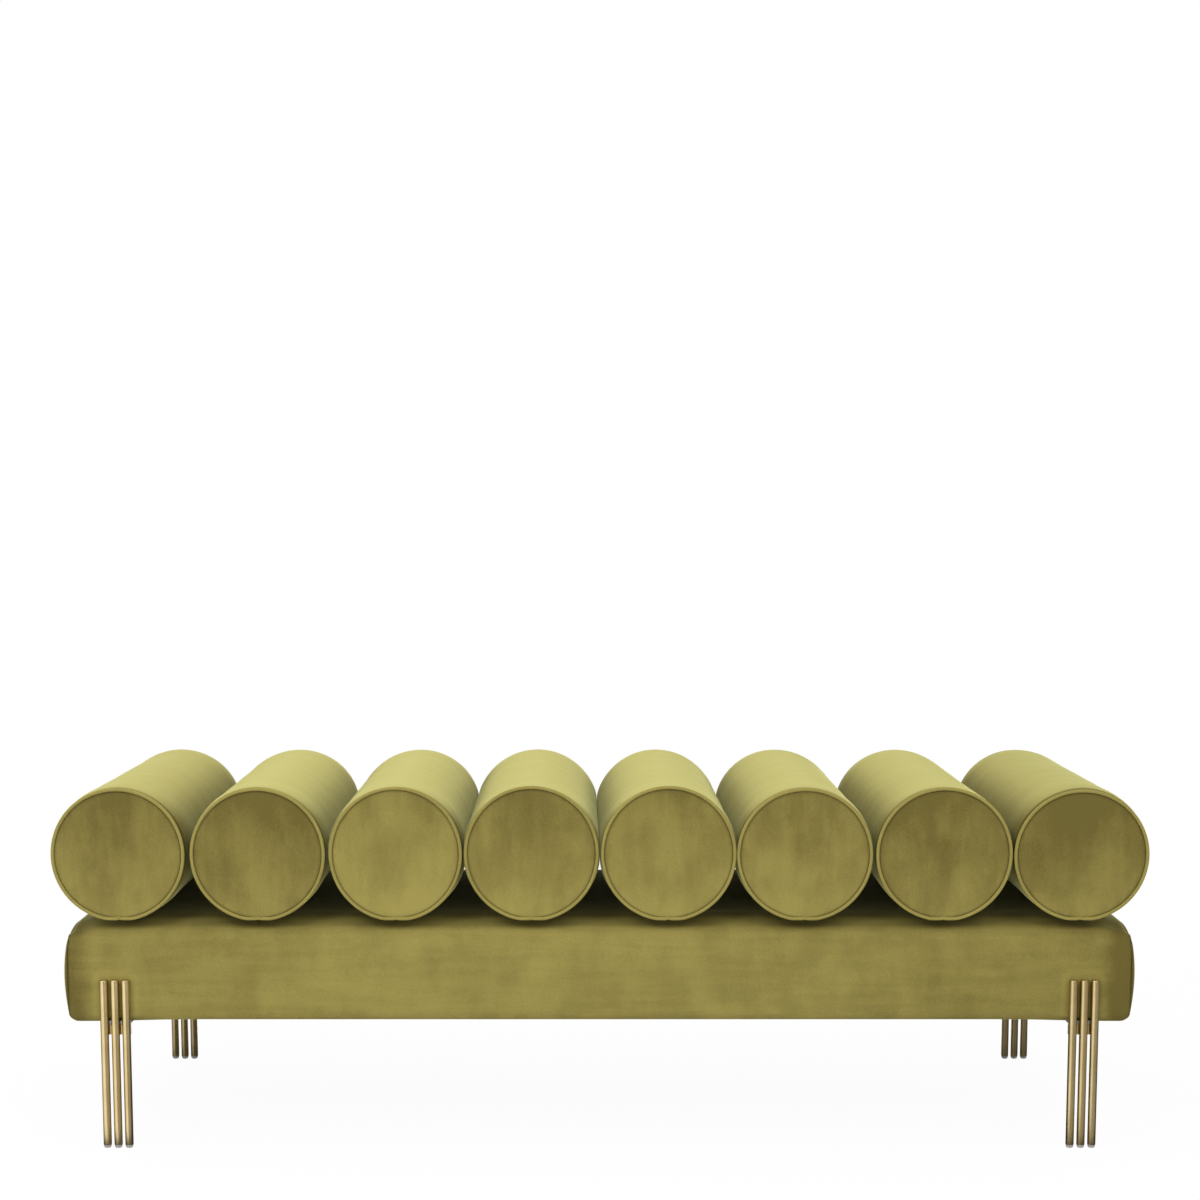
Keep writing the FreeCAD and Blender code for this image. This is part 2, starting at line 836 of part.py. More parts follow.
def check_document():
    """Stops if any object failed or any sub-part is not a sound shape."""
    failed = [item.Name for item in doc.Objects if {"Invalid", "Error"} & set(item.State)]
    for name, item in nodes.items():
        if item.Shape.isNull() or not item.Shape.isValid() or not item.Shape.Solids:
            failed.append(name)
    if failed:
        raise ValueError(f"these objects failed: {failed}")


make_frame()
make_upholstery()
for number, x in enumerate(roll_places(), start=1):
    make_roll(number, x)
make_roll_fixings()
for place_name, x_side, y_side in (
    ("front_left", -1, -1),
    ("front_right", 1, -1),
    ("back_left", -1, 1),
    ("back_right", 1, 1),
):
    make_leg(place_name, x_side, y_side)
make_leg_screws()

doc.recompute()
check_document()
os.makedirs("parts", exist_ok=True)
for name, item in nodes.items():
    item.Shape.exportStep(f"parts/{name}.step")
    solids = len(item.Shape.Solids)
    print(f"{name}: {solids} solids, {item.Shape.Volume / 1000:.1f} cm3")
print(f"{len(nodes)} sub-parts")
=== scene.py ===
"""A backless divan: a velvet base on four brass legs, with eight velvet bolster rolls on top.

The packed model is loaded as a fixed frame. Everything is in metres, with X along the length,
Y from the front to the back and Z up. Each operator dresses one kind of piece in this frame,
and the last ones set the stage.
"""

import json
import math

import bpy
import numpy as np
from mathutils import Euler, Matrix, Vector, noise

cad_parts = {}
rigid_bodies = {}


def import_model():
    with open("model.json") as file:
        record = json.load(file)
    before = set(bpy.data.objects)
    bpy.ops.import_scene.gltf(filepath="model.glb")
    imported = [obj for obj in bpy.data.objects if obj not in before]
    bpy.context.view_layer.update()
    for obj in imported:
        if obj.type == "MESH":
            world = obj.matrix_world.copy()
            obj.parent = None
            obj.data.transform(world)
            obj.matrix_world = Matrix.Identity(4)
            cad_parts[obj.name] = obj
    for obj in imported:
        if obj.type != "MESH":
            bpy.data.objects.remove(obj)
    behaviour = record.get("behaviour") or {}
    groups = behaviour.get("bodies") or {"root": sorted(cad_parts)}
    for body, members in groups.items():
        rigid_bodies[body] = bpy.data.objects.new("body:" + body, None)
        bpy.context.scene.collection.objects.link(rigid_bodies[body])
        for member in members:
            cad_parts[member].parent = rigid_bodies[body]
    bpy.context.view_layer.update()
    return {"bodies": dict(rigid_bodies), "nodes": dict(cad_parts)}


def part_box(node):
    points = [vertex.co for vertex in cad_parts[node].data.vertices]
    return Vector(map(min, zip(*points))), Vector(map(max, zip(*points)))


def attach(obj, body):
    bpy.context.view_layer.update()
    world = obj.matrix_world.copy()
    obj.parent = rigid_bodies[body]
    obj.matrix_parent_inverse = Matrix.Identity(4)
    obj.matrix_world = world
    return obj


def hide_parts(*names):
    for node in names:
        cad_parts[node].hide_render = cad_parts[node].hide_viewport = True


bl_info = {
    "name": "Velvet Roll Divan",
    "version": (1, 0, 0),
    "blender": (4, 5, 0),
    "location": "View3D > Sidebar > Divan",
    "description": "Dresses a backless divan with eight bolster rolls in velvet and brass",
    "category": "Object",
}

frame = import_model()

MM = 0.001

# Width of the camera's sensor, in millimetres.
SENSOR_WIDTH = 36


# Places read from the frame


def low_corner(node):
    """The left, front and bottom limits of a node's box."""
    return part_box(node)[0]


def high_corner(node):
    """The right, back and top limits of a node's box."""
    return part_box(node)[1]


def middle(node):
    """The middle of a node's box."""
    low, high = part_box(node)
    return (low + high) / 2


def span(node):
    """The sizes of a node's box."""
    low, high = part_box(node)
    return high - low


ROLL_COUNT = len([name for name in frame["nodes"] if name.startswith("roll_cover_")])
LEGS = ("front_left", "front_right", "back_left", "back_right")
ENDS = (("left", -1), ("right", 1))
BODY = next(iter(frame["bodies"]))

# How each roll lies, from left to right: the shift of its front end to the right, the half width
# of its front over the welt, the height of its front's top and the shift of its back end to the
# right, in millimetres, and how much paler or darker its disc is.
ROLL_PLACES = (
    (0.0, 94.5, 531.0, 0.0, -0.18),
    (3.0, 96.0, 532.0, -1.5, -0.24),
    (3.5, 94.0, 534.0, 0.8, 0.14),
    (1.0, 96.0, 536.0, -3.5, 0.02),
    (0.5, 96.5, 536.0, -7.0, 0.04),
    (-1.5, 97.0, 531.5, -7.5, -0.02),
    (1.0, 97.5, 533.0, -5.0, -0.26),
    (0.5, 96.0, 528.5, -2.5, -0.26),
)


# Settings


def length(name, description, default):
    """A property that holds a length in metres."""
    return bpy.props.FloatProperty(
        name=name, description=description, default=default, unit="LENGTH", precision=5
    )


def share(name, description, default):
    """A property that holds a share from 0 to 1."""
    return bpy.props.FloatProperty(
        name=name, description=description, default=default, min=0, max=1, subtype="FACTOR"
    )


def colour(name, description, default):
    """A property that holds a linear colour."""
    return bpy.props.FloatVectorProperty(
        name=name, description=description, default=default, size=3, min=0, max=1, subtype="COLOR"
    )


def count(name, description, default):
    """A property that holds a whole number."""
    return bpy.props.IntProperty(name=name, description=description, default=default, min=1)


class DIVAN_PG_rolls(bpy.types.PropertyGroup):
    """Sizes of the bolster rolls"""

    half_width: length("Half width", "Half the width of the full part of a roll", 0.0996)
    top: length("Top", "Height of a roll's top", high_corner("roll_cover_1").z)
    rest: length("Rest", "Height on which the rolls rest", low_corner("roll_cover_1").z)
    barrel: length("Barrel", "Half the length of the full part of a roll", 0.215)
    crown: length("Crown", "How far the middle of an end disc stands out", 0.0045)
    press: length("Press", "How much wider a roll would be if its neighbour did not stop it", 0.0030)
    fullness: length("Fullness", "How far the filling pushes the top and bottom out", 0.0008)
    back_drop: length("Back drop", "How far the back seam lies below the top", 0.0105)
    wall_puff: length("Wall puff", "Swelling of the cover beside a welt", 0.0041)
    disc_puff: length("Disc puff", "Swelling of an end disc beside its welt", 0.0017)
    cord: length("Cord", "Radius of the welt round an end disc", 0.00245)
    seam_rest: length("Seam rest", "Lowest point of the welts", 0.3394)
    disc_cells: count("Disc cells", "Mesh cells across an end disc", 24)
    shrink: length("Shrink", "How much smaller a roll starts before it is filled", 0.0016)
    pressure: bpy.props.FloatProperty(
        name="Pressure", description="Filling pressure of the simulated cover", default=4.0
    )
    frames: count("Frames", "Frames for which the cover is simulated", 20)
    give: length("Give", "The most that the filling may move the cover", 0.005)


class DIVAN_PG_base(bpy.types.PropertyGroup):
    """Sizes of the upholstered base"""

    half_depth: length("Half depth", "Half the depth over the velvet", high_corner("base_cover").y)
    top: length("Top", "Height of the middle of the top", high_corner("base_cover").z)
    bottom: length("Bottom", "Height of the underside", low_corner("base_cover").z)
    edge: length("Edge", "Height at which the top edge starts to round", 0.329)
    flat_x: length("Flat length", "Half the length of the level part of the top", 0.715)
    flat_y: length("Flat depth", "Half the depth of the level part of the top", 0.190)
    top_round: length("Top round", "Radius of the top edges", 0.020)
    bottom_round: length("Bottom round", "Radius of the bottom edges", 0.012)
    face_bulge: length("Face bulge", "How far the front swells between its edges", 0.0025)
    end_bulge: length("End bulge", "How far an end panel swells", 0.0100)
    seam_x: length("Seam", "Distance from the middle to the end seams", 0.779)
    seam_sink: length("Seam sink", "Depth of the furrow at the end seams", 0.0017)
    foot_round: length("Foot round", "Radius of the bottom corners at the two ends", 0.012)


class DIVAN_PG_legs(bpy.types.PropertyGroup):
    """Sizes of the brass legs"""

    rod_radius: length("Rod radius", "Radius of a rod", span("leg_rods_front_left").y / 2)
    rod_edge: length("Rod edge", "Rounding of a rod's ends", 0.0007)
    rods: count("Rods", "Rods in one leg", 3)
    sides: count("Sides", "Facets round a rod", 56)


class DIVAN_PG_velvet(bpy.types.PropertyGroup):
    """Colours and nap of the velvet"""

    deep: colour("Deep", "Colour of the pile seen end on", (0.128, 0.101, 0.0235))
    pale: colour("Pale", "Colour of the pile brushed flat", (0.300, 0.252, 0.068))
    # Painted top sheen: a paler colour that stands in for the sheen and top light on the tops of the
    # rolls.
    crest: colour("Painted top sheen", "Colour of the pile on top of the rolls", (0.385, 0.345, 0.112))
    # A near black painted shade, laid down in the seams where shade falls.
    crease: colour("Seam shade", "Colour down in a seam", (0.035, 0.026, 0.005))
    sheen: share("Sheen", "Strength of the pile's sheen", 0.54)
    sheen_tint: colour("Sheen tint", "Colour of the sheen", (1.0, 1.0, 0.42))
    sheen_spread: share("Sheen spread", "Roughness of the sheen", 0.28)


class DIVAN_PG_brass(bpy.types.PropertyGroup):
    """Colours of the brass"""

    clean: colour("Clean", "Colour of the clean brass", (0.62, 0.49, 0.255))
    worn: colour("Worn", "Colour of the duller brass", (0.52, 0.40, 0.185))
    polish: share("Polish", "Roughness of the brass", 0.31)


class DIVAN_PG_stage(bpy.types.PropertyGroup):
    """Camera and light"""

    eye: bpy.props.FloatVectorProperty(
        name="Eye",
        description="Where the camera stands",
        default=(0.0007, -3.534, 0.9426),
        subtype="TRANSLATION",
        unit="LENGTH",
    )
    pitch: bpy.props.FloatProperty(
        name="Pitch",
        description="How far the camera looks down",
        default=math.radians(7.14),
        subtype="ANGLE",
    )
    lens: bpy.props.FloatProperty(
        name="Lens", description="Focal length in millimetres", default=68.24
    )
    rise: bpy.props.FloatProperty(
        name="Rise", description="Vertical shift of the camera's frame", default=0.1567
    )
    floor_width: length("Floor width", "Width of the studio floor", 24.0)
    shadow_reach: length("Shadow reach", "Distance at which the floor is plain white", 3.0)
    shadow_white: share("Shadow white", "How far the floor's own white fills the shadow", 0.96)
    room_light: share("Room light", "Light that reaches the divan from all round", 0.85)


SETTINGS = {
    "divan_rolls": DIVAN_PG_rolls,
    "divan_base": DIVAN_PG_base,
    "divan_legs": DIVAN_PG_legs,
    "divan_velvet": DIVAN_PG_velvet,
    "divan_brass": DIVAN_PG_brass,
    "divan_stage": DIVAN_PG_stage,
}


# Meshes


def add_piece(name, points, faces, material):
    """A smooth mesh of the points, which are in metres in the frame."""
    mesh = bpy.data.meshes.new(name)
    mesh.from_pydata([tuple(point) for point in points], [], faces)
    mesh.materials.append(material)
    mesh.shade_smooth()
    piece = bpy.data.objects.new(name, mesh)
    bpy.context.scene.collection.objects.link(piece)
    return piece


def read_points(mesh):
    """The places of a mesh's points, one row for each."""
    points = np.empty(len(mesh.vertices) * 3)
    mesh.vertices.foreach_get("co", points)
    return points.reshape(-1, 3)


def write_points(mesh, points):
    """Moves a mesh's points to new places."""
    mesh.vertices.foreach_set("co", points.ravel())
    mesh.update()


def bake_modifiers(piece):
    """Replaces a piece's mesh by what its modifiers make of it."""
    graph = bpy.context.evaluated_depsgraph_get()
    graph.update()
    baked = bpy.data.meshes.new_from_object(piece.evaluated_get(graph), depsgraph=graph)
    piece.modifiers.clear()
    plain = piece.data
    piece.data = baked
    bpy.data.meshes.remove(plain)
    baked.name = piece.name
    return piece


def subdivide(piece, levels):
    """Divides and smooths a piece's surface for good."""
    surface = piece.modifiers.new("surface", "SUBSURF")
    surface.levels = levels
    surface.render_levels = levels
    return bake_modifiers(piece)


def smooth_steps(values):
    """The usual smooth step, for an array that runs from 0 to 1."""
    values = np.clip(values, 0, 1)
    return values * values * (3 - 2 * values)


def unevenness(points, size, seed):
    """Smooth noise from about -1 to 1 at each point, with lumps of about the given size."""
    shift = Vector((seed * 7.31, seed * 3.17, seed * 5.23))
    return np.array([noise.noise(Vector(point) / size + shift) for point in points])


def move_along_normals(mesh, amounts):
    """Moves each point outwards by its own amount."""
    normals = np.empty(len(mesh.vertices) * 3)
    mesh.vertices.foreach_get("normal", normals)
    write_points(mesh, read_points(mesh) + normals.reshape(-1, 3) * amounts[:, None])


def mark_points(piece, name, values):
    """Stores a value for each point, which the velvet reads by its name."""
    mark = piece.data.attributes.new(name, "FLOAT", "POINT")
    mark.data.foreach_set("value", np.asarray(values, np.float32))


def graded(low, high, fine, coarse, growth=1.45):
    """Places from low to high, close together at both ends and wider between them."""
    steps = []
    place = 0.0
    step = fine
    half = (high - low) / 2
    while place < half:
        steps.append(place)
        place += step
        step = min(coarse, step * growth)
    scale = half / place
    left = [low + place * scale for place in steps]
    right = [high - place * scale for place in steps]
    return left + [(low + high) / 2] + right[::-1]


# Geometry Nodes


def new_tree(name, sockets):
    """A Geometry Nodes tree with named inputs, and its input and output nodes."""
    tree = bpy.data.node_groups.new(name, "GeometryNodeTree")
    tree.interface.new_socket("Geometry", in_out="OUTPUT", socket_type="NodeSocketGeometry")
    for socket_name, kind in sockets:
        tree.interface.new_socket(socket_name, in_out="INPUT", socket_type=kind)
    return tree, tree.nodes.new("NodeGroupInput"), tree.nodes.new("NodeGroupOutput")


def add_tree(piece, tree, values):
    """Puts the tree on a piece, with its inputs set by the identifier of each named socket."""
    modifier = piece.modifiers.new(tree.name, "NODES")
    modifier.node_group = tree
    for socket in tree.interface.items_tree:
        if socket.in_out == "INPUT" and socket.name in values:
            modifier[socket.identifier] = values[socket.name]
    return modifier


def piping_tree():
    """Turns a path of edges into a round closed cord."""
    tree, given, made = new_tree(
        "piping",
        [
            ("Path", "NodeSocketGeometry"),
            ("Cord Radius", "NodeSocketFloat"),
            ("Sides", "NodeSocketInt"),
            ("Step", "NodeSocketFloat"),
            ("Finish", "NodeSocketMaterial"),
        ],
    )
    link = tree.links.new
    path = tree.nodes.new("GeometryNodeMeshToCurve")
    even = tree.nodes.new("GeometryNodeResampleCurve")
    even.mode = "LENGTH"
    section = tree.nodes.new("GeometryNodeCurvePrimitiveCircle")
    cord = tree.nodes.new("GeometryNodeCurveToMesh")
    cord.inputs["Fill Caps"].default_value = True
    whole = tree.nodes.new("GeometryNodeRealizeInstances")
    finish = tree.nodes.new("GeometryNodeSetMaterial")
    smooth = tree.nodes.new("GeometryNodeSetShadeSmooth")
    link(given.outputs["Path"], path.inputs["Mesh"])
    link(path.outputs["Curve"], even.inputs["Curve"])
    link(given.outputs["Step"], even.inputs["Length"])
    link(given.outputs["Cord Radius"], section.inputs["Radius"])
    link(given.outputs["Sides"], section.inputs["Resolution"])
    link(even.outputs["Curve"], cord.inputs["Curve"])
    link(section.outputs["Curve"], cord.inputs["Profile Curve"])
    link(cord.outputs["Mesh"], smooth.inputs["Geometry"])
    link(smooth.outputs["Geometry"], whole.inputs["Geometry"])
    link(whole.outputs["Geometry"], finish.inputs["Geometry"])
    link(given.outputs["Finish"], finish.inputs["Material"])
    link(finish.outputs["Geometry"], made.inputs["Geometry"])
    return tree


def row_tree():
    """Repeats one piece along a straight row."""
    tree, given, made = new_tree(
        "row",
        [
            ("Piece", "NodeSocketObject"),
            ("Count", "NodeSocketInt"),
            ("First Place", "NodeSocketVector"),
            ("Pitch", "NodeSocketVector"),
            ("Finish", "NodeSocketMaterial"),
        ],
    )
    link = tree.links.new
    piece = tree.nodes.new("GeometryNodeObjectInfo")
    places = tree.nodes.new("GeometryNodeMeshLine")
    spread = tree.nodes.new("GeometryNodeInstanceOnPoints")
    whole = tree.nodes.new("GeometryNodeRealizeInstances")
    finish = tree.nodes.new("GeometryNodeSetMaterial")
    link(given.outputs["Piece"], piece.inputs["Object"])
    link(given.outputs["Count"], places.inputs["Count"])
    link(given.outputs["First Place"], places.inputs["Start Location"])
    link(given.outputs["Pitch"], places.inputs["Offset"])
    link(places.outputs["Mesh"], spread.inputs["Points"])
    link(piece.outputs["Geometry"], spread.inputs["Instance"])
    link(spread.outputs["Instances"], whole.inputs["Geometry"])
    link(whole.outputs["Geometry"], finish.inputs["Geometry"])
    link(given.outputs["Finish"], finish.inputs["Material"])
    link(finish.outputs["Geometry"], made.inputs["Geometry"])
    return tree


# Finishes


class Finish:
    """A new material and short ways to add nodes to it."""

    def __init__(self, name):
        self.material = bpy.data.materials.new(name)
        self.material.use_nodes = True
        self.tree = self.material.node_tree
        self.shader = self.tree.nodes["Principled BSDF"]
        self.places = self.tree.nodes.new("ShaderNodeTexCoord").outputs["Object"]

    def link(self, start, end):
        """Joins an output socket to an input socket."""
        self.tree.links.new(start, end)

    def set(self, **values):
        """Sets the shader's own sockets, named with underscores for spaces."""
        for name, value in values.items():
            self.shader.inputs[name.replace("_", " ")].default_value = value

    def stretched(self, scale):
        """Object coordinates, stretched by a scale for each axis."""
        mapping = self.tree.nodes.new("ShaderNodeMapping")
        mapping.inputs["Scale"].default_value = scale
        self.link(self.places, mapping.inputs["Vector"])
        return mapping.outputs["Vector"]

    def noise(self, scale, detail=2.0, rough=0.5, vector=None):
        """Smooth noise, on Object coordinates unless another vector is given."""
        grain = self.tree.nodes.new("ShaderNodeTexNoise")
        grain.inputs["Scale"].default_value = scale
        grain.inputs["Detail"].default_value = detail
        grain.inputs["Roughness"].default_value = rough
        self.link(vector or self.places, grain.inputs["Vector"])
        return grain.outputs["Fac"]

    def levels(self, value, low, high, to_low=0.0, to_high=1.0):
        """Spreads the values from low to high over a new range."""
        spread = self.tree.nodes.new("ShaderNodeMapRange")
        spread.interpolation_type = "SMOOTHSTEP"
        spread.inputs["From Min"].default_value = low
        spread.inputs["From Max"].default_value = high
        spread.inputs["To Min"].default_value = to_low
        spread.inputs["To Max"].default_value = to_high
        self.link(value, spread.inputs["Value"])
        return spread.outputs["Result"]

    def combine(self, operation, first, second):
        """A math node on two sockets or numbers."""
        node = self.tree.nodes.new("ShaderNodeMath")
        node.operation = operation
        for socket, value in zip(node.inputs, (first, second)):
            if isinstance(value, (int, float)):
                socket.default_value = value
            else:
                self.link(value, socket)
        return node.outputs["Value"]

    def choose(self, share_of_second, first, second):
        """Mixes two numbers, each from a socket."""
        node = self.tree.nodes.new("ShaderNodeMix")
        self.link(share_of_second, node.inputs["Factor"])
        self.link(first, node.inputs["A"])
        self.link(second, node.inputs["B"])
        return node.outputs["Result"]

    def blend(self, share_of_second, first, second):
        """Mixes two colours, each a socket or a linear colour."""
        node = self.tree.nodes.new("ShaderNodeMix")
        node.data_type = "RGBA"
        self.link(share_of_second, node.inputs["Factor"])
        for socket, value in ((node.inputs[6], first), (node.inputs[7], second)):
            if isinstance(value, bpy.types.NodeSocket):
                self.link(value, socket)
            else:
                socket.default_value = (*value, 1.0)
        return node.outputs[2]

    def bump(self, height, strength, distance, normal=None):
        """A normal that follows a height, over another normal if one is given."""
        node = self.tree.nodes.new("ShaderNodeBump")
        node.inputs["Strength"].default_value = strength
        node.inputs["Distance"].default_value = distance
        self.link(height, node.inputs["Height"])
        if normal:
            self.link(normal, node.inputs["Normal"])
        return node.outputs["Normal"]

    def attribute(self, name):
        """A value that the piece's points carry."""
        node = self.tree.nodes.new("ShaderNodeAttribute")
        node.attribute_name = name
        return node.outputs["Fac"]

    def colour(self, socket):
        """Sets the shader's base colour."""
        self.link(socket, self.shader.inputs["Base Color"])

    def roughness(self, socket):
        """Sets the shader's roughness."""
        self.link(socket, self.shader.inputs["Roughness"])

    def normal(self, socket):
        """Sets the shader's normal."""
        self.link(socket, self.shader.inputs["Normal"])


# How strongly each kind of mark changes the tone of the velvet, as a share of the way from the
# deep to the pale colour. Discs and base have the patches of a roll and their own on top. The even
# nap is the tone of velvet without any mark.
ROLL_PATCHES = 0.13
DISC_PATCHES = 0.17
BASE_PATCHES = 0.14
STROKES = 0.13
SPECKLES = 0.17
EVEN_NAP = 0.5


def velvet_finish(settings):
    """Short pile velvet: brushed clouds, strokes that follow each panel, fine pile and a sheen.
    The points carry marks: upright on the end discs of the rolls, along on the base, a painted top
    sheen on top of the rolls, painted shade in the seams, and a tone where the pile is brushed paler
    or deeper, together with painted light and shade."""
    finish = Finish("olive_velvet")
    on_disc = finish.attribute("upright")
    on_base = finish.attribute("along")
    clouds = finish.noise(1.0, 3.0, 0.55, finish.stretched((17.0, 17.0, 12.0)))
    round_roll = finish.noise(1.0, 3.0, 0.6, finish.stretched((6.0, 60.0, 6.0)))
    upright = finish.noise(1.0, 3.0, 0.6, finish.stretched((60.0, 60.0, 11.0)))
    along = finish.noise(1.0, 3.0, 0.6, finish.stretched((9.0, 60.0, 75.0)))
    strokes = finish.choose(on_base, finish.choose(on_disc, round_roll, upright), along)
    grain = finish.noise(430.0, 2.0, 0.6)
    pile = finish.noise(1100.0, 2.0, 0.6)
    patches = finish.combine("MULTIPLY", on_disc, DISC_PATCHES)
    patches = finish.combine("ADD", patches, finish.combine("MULTIPLY", on_base, BASE_PATCHES))
    patches = finish.combine("ADD", patches, ROLL_PATCHES)
    brushed = finish.combine("MULTIPLY", finish.levels(clouds, 0.33, 0.68, -0.5, 0.5), patches)
    stroked = finish.combine("MULTIPLY", finish.levels(strokes, 0.33, 0.68, -0.5, 0.5), STROKES)
    speckle = finish.combine("MULTIPLY", finish.levels(grain, 0.30, 0.70, -0.5, 0.5), SPECKLES)
    nap = finish.combine("ADD", finish.combine("ADD", brushed, stroked), speckle)
    # This mark holds the pile's own tone together with painted light and shade.
    nap = finish.combine("ADD", nap, finish.attribute("nap"))
    nap = finish.combine("ADD", nap, EVEN_NAP)
    lit = finish.blend(nap, settings.deep, settings.pale)
    # Painted top sheen: the tops of the rolls are blended to a paler colour.
    lit = finish.blend(finish.attribute("crest"), lit, settings.crest)
    # Painted shade in the seams, laid over the tone and the painted top sheen.
    finish.colour(finish.blend(finish.attribute("crease"), lit, settings.crease))
    finish.roughness(finish.levels(pile, 0.2, 0.8, 0.80, 0.96))
    finish.set(
        Sheen_Weight=settings.sheen,
        Sheen_Roughness=settings.sheen_spread,
        Sheen_Tint=(*settings.sheen_tint, 1.0),
        Specular_IOR_Level=0.10,
    )
    soft = finish.bump(clouds, 0.25, 0.004)
    finish.normal(finish.bump(pile, 0.20, 0.0004, soft))
    return finish.material


def brass_finish(settings):
    """Satin brass, polished round the rods, with duller patches."""
    finish = Finish("satin_brass")
    dull = finish.noise(11.0, 4.0, 0.6)
    lines = finish.noise(1.0, 2.0, 0.6, finish.stretched((60.0, 60.0, 4200.0)))
    marks = finish.noise(260.0, 3.0, 0.65)
    wear = finish.levels(dull, 0.35, 0.75)
    finish.colour(finish.blend(wear, settings.clean, settings.worn))
    gloss = finish.levels(lines, 0.2, 0.8, settings.polish - 0.03, settings.polish + 0.03)
    finish.roughness(finish.combine("ADD", gloss, finish.levels(marks, 0.55, 0.8, 0.0, 0.03)))
    finish.set(Metallic=1.0, Anisotropic=0.85)
    upright = finish.tree.nodes.new("ShaderNodeCombineXYZ")
    upright.inputs["Z"].default_value = 1.0
    finish.link(upright.outputs["Vector"], finish.shader.inputs["Tangent"])
    finish.normal(finish.bump(lines, 0.03, 0.00002))
    return finish.material


def metal_finish(name, clean, dull, polish):
    """Sheet steel with rolling lines, scuffs and uneven gloss."""
    finish = Finish(name)
    scuffs = finish.noise(60.0, 5.0, 0.65)
    lines = finish.noise(1.0, 2.0, 0.5, finish.stretched((60.0, 1500.0, 1500.0)))
    finish.colour(finish.blend(finish.levels(scuffs, 0.35, 0.7), clean, dull))
    finish.roughness(finish.levels(scuffs, 0.3, 0.8, polish, polish + 0.18))
    finish.set(Metallic=1.0)
    finish.normal(finish.bump(lines, 0.15, 0.00005))
    return finish.material


def timber_finish():
    """Planed softwood with growth rings drawn out along the grain."""
    finish = Finish("planed_softwood")
    bend = finish.noise(3.0, 3.0, 0.5, finish.stretched((0.6, 4.0, 4.0)))
    rings = finish.tree.nodes.new("ShaderNodeTexWave")
    rings.wave_type = "RINGS"
    rings.rings_direction = "X"
    rings.inputs["Scale"].default_value = 24.0
    rings.inputs["Distortion"].default_value = 5.0
    rings.inputs["Detail"].default_value = 3.0
    finish.link(finish.stretched((0.15, 1.0, 1.0)), rings.inputs["Vector"])
    fibres = finish.noise(1.0, 3.0, 0.6, finish.stretched((30.0, 900.0, 900.0)))
    base = finish.blend(rings.outputs["Fac"], (0.60, 0.40, 0.19), (0.42, 0.24, 0.10))
    finish.colour(finish.blend(finish.levels(bend, 0.3, 0.8), base, (0.66, 0.47, 0.26)))
    finish.roughness(finish.levels(fibres, 0.2, 0.8, 0.55, 0.75))
    finish.normal(finish.bump(fibres, 0.35, 0.0003))
    return finish.material


def plywood_finish():
    """Birch plywood: a flamed face and thin layers at the edges."""
    finish = Finish("birch_plywood")
    flames = finish.noise(1.0, 4.0, 0.6, finish.stretched((6.0, 40.0, 10.0)))
    layers = finish.tree.nodes.new("ShaderNodeTexWave")
    layers.bands_direction = "Z"
    layers.inputs["Scale"].default_value = 130.0
    finish.link(finish.places, layers.inputs["Vector"])
    face = finish.blend(flames, (0.62, 0.46, 0.26), (0.50, 0.34, 0.17))
    edge = finish.levels(layers.outputs["Fac"], 0.2, 0.8, 0.0, 0.35)
    finish.colour(finish.blend(edge, face, (0.34, 0.21, 0.10)))
    finish.roughness(finish.levels(flames, 0.2, 0.8, 0.5, 0.7))
    finish.normal(finish.bump(flames, 0.2, 0.0003))
    return finish.material


def dust_cloth_finish():
    """Thin black non-woven cloth with pressed dots and loose fibres."""
    finish = Finish("black_dust_cloth")
    dots = finish.tree.nodes.new("ShaderNodeTexVoronoi")
    dots.inputs["Scale"].default_value = 520.0
    dots.inputs["Randomness"].default_value = 0.15
    finish.link(finish.places, dots.inputs["Vector"])
    fibres = finish.noise(700.0, 4.0, 0.7)
    finish.colour(
        finish.blend(finish.levels(fibres, 0.35, 0.75), (0.012, 0.012, 0.013), (0.045, 0.045, 0.048))
    )
    finish.roughness(finish.levels(fibres, 0.2, 0.8, 0.82, 0.97))
    pressed = finish.bump(dots.outputs["Distance"], 0.4, 0.0003)
    finish.normal(finish.bump(fibres, 0.3, 0.0002, pressed))
    return finish.material


def foam_finish():
    """Open cell foam."""
    finish = Finish("seat_foam")
    cells = finish.tree.nodes.new("ShaderNodeTexVoronoi")
    cells.inputs["Scale"].default_value = 900.0
    finish.link(finish.places, cells.inputs["Vector"])
    finish.colour(
        finish.blend(cells.outputs["Distance"], (0.80, 0.72, 0.48), (0.62, 0.53, 0.32))
    )
    finish.roughness(finish.levels(cells.outputs["Distance"], 0.0, 0.8, 0.85, 1.0))
    finish.normal(finish.bump(cells.outputs["Distance"], 0.5, 0.0006))
    return finish.material


def glide_finish():
    """Grey moulded plastic, scuffed where it meets the floor."""
    finish = Finish("grey_glide_plastic")
    scuffs = finish.noise(350.0, 4.0, 0.7)
    grain = finish.noise(2400.0, 2.0, 0.5)
    finish.colour(
        finish.blend(finish.levels(scuffs, 0.45, 0.8), (0.33, 0.32, 0.30), (0.48, 0.46, 0.43))
    )
    finish.roughness(finish.levels(scuffs, 0.3, 0.8, 0.42, 0.66))
    finish.normal(finish.bump(grain, 0.25, 0.0001))
    return finish.material


# The bolster rolls


# Shares of the welt's radius: how far its middle lies outside the seam ring and past the seam.
WELT_OUT = 0.4
WELT_PAST = 0.5

# How much the square of a roll's fullness falls from its shoulder to the seam.
SHOULDER_FALL = 0.9

# Height of the flat on which a roll rests over the lowest point of its round section.
REST_FLAT = 0.0007


def shoulder(reach):
    """How full a roll is, from 1 where the shoulder starts to about a third at the seam."""
    return math.sqrt(1 - SHOULDER_FALL * reach * reach)


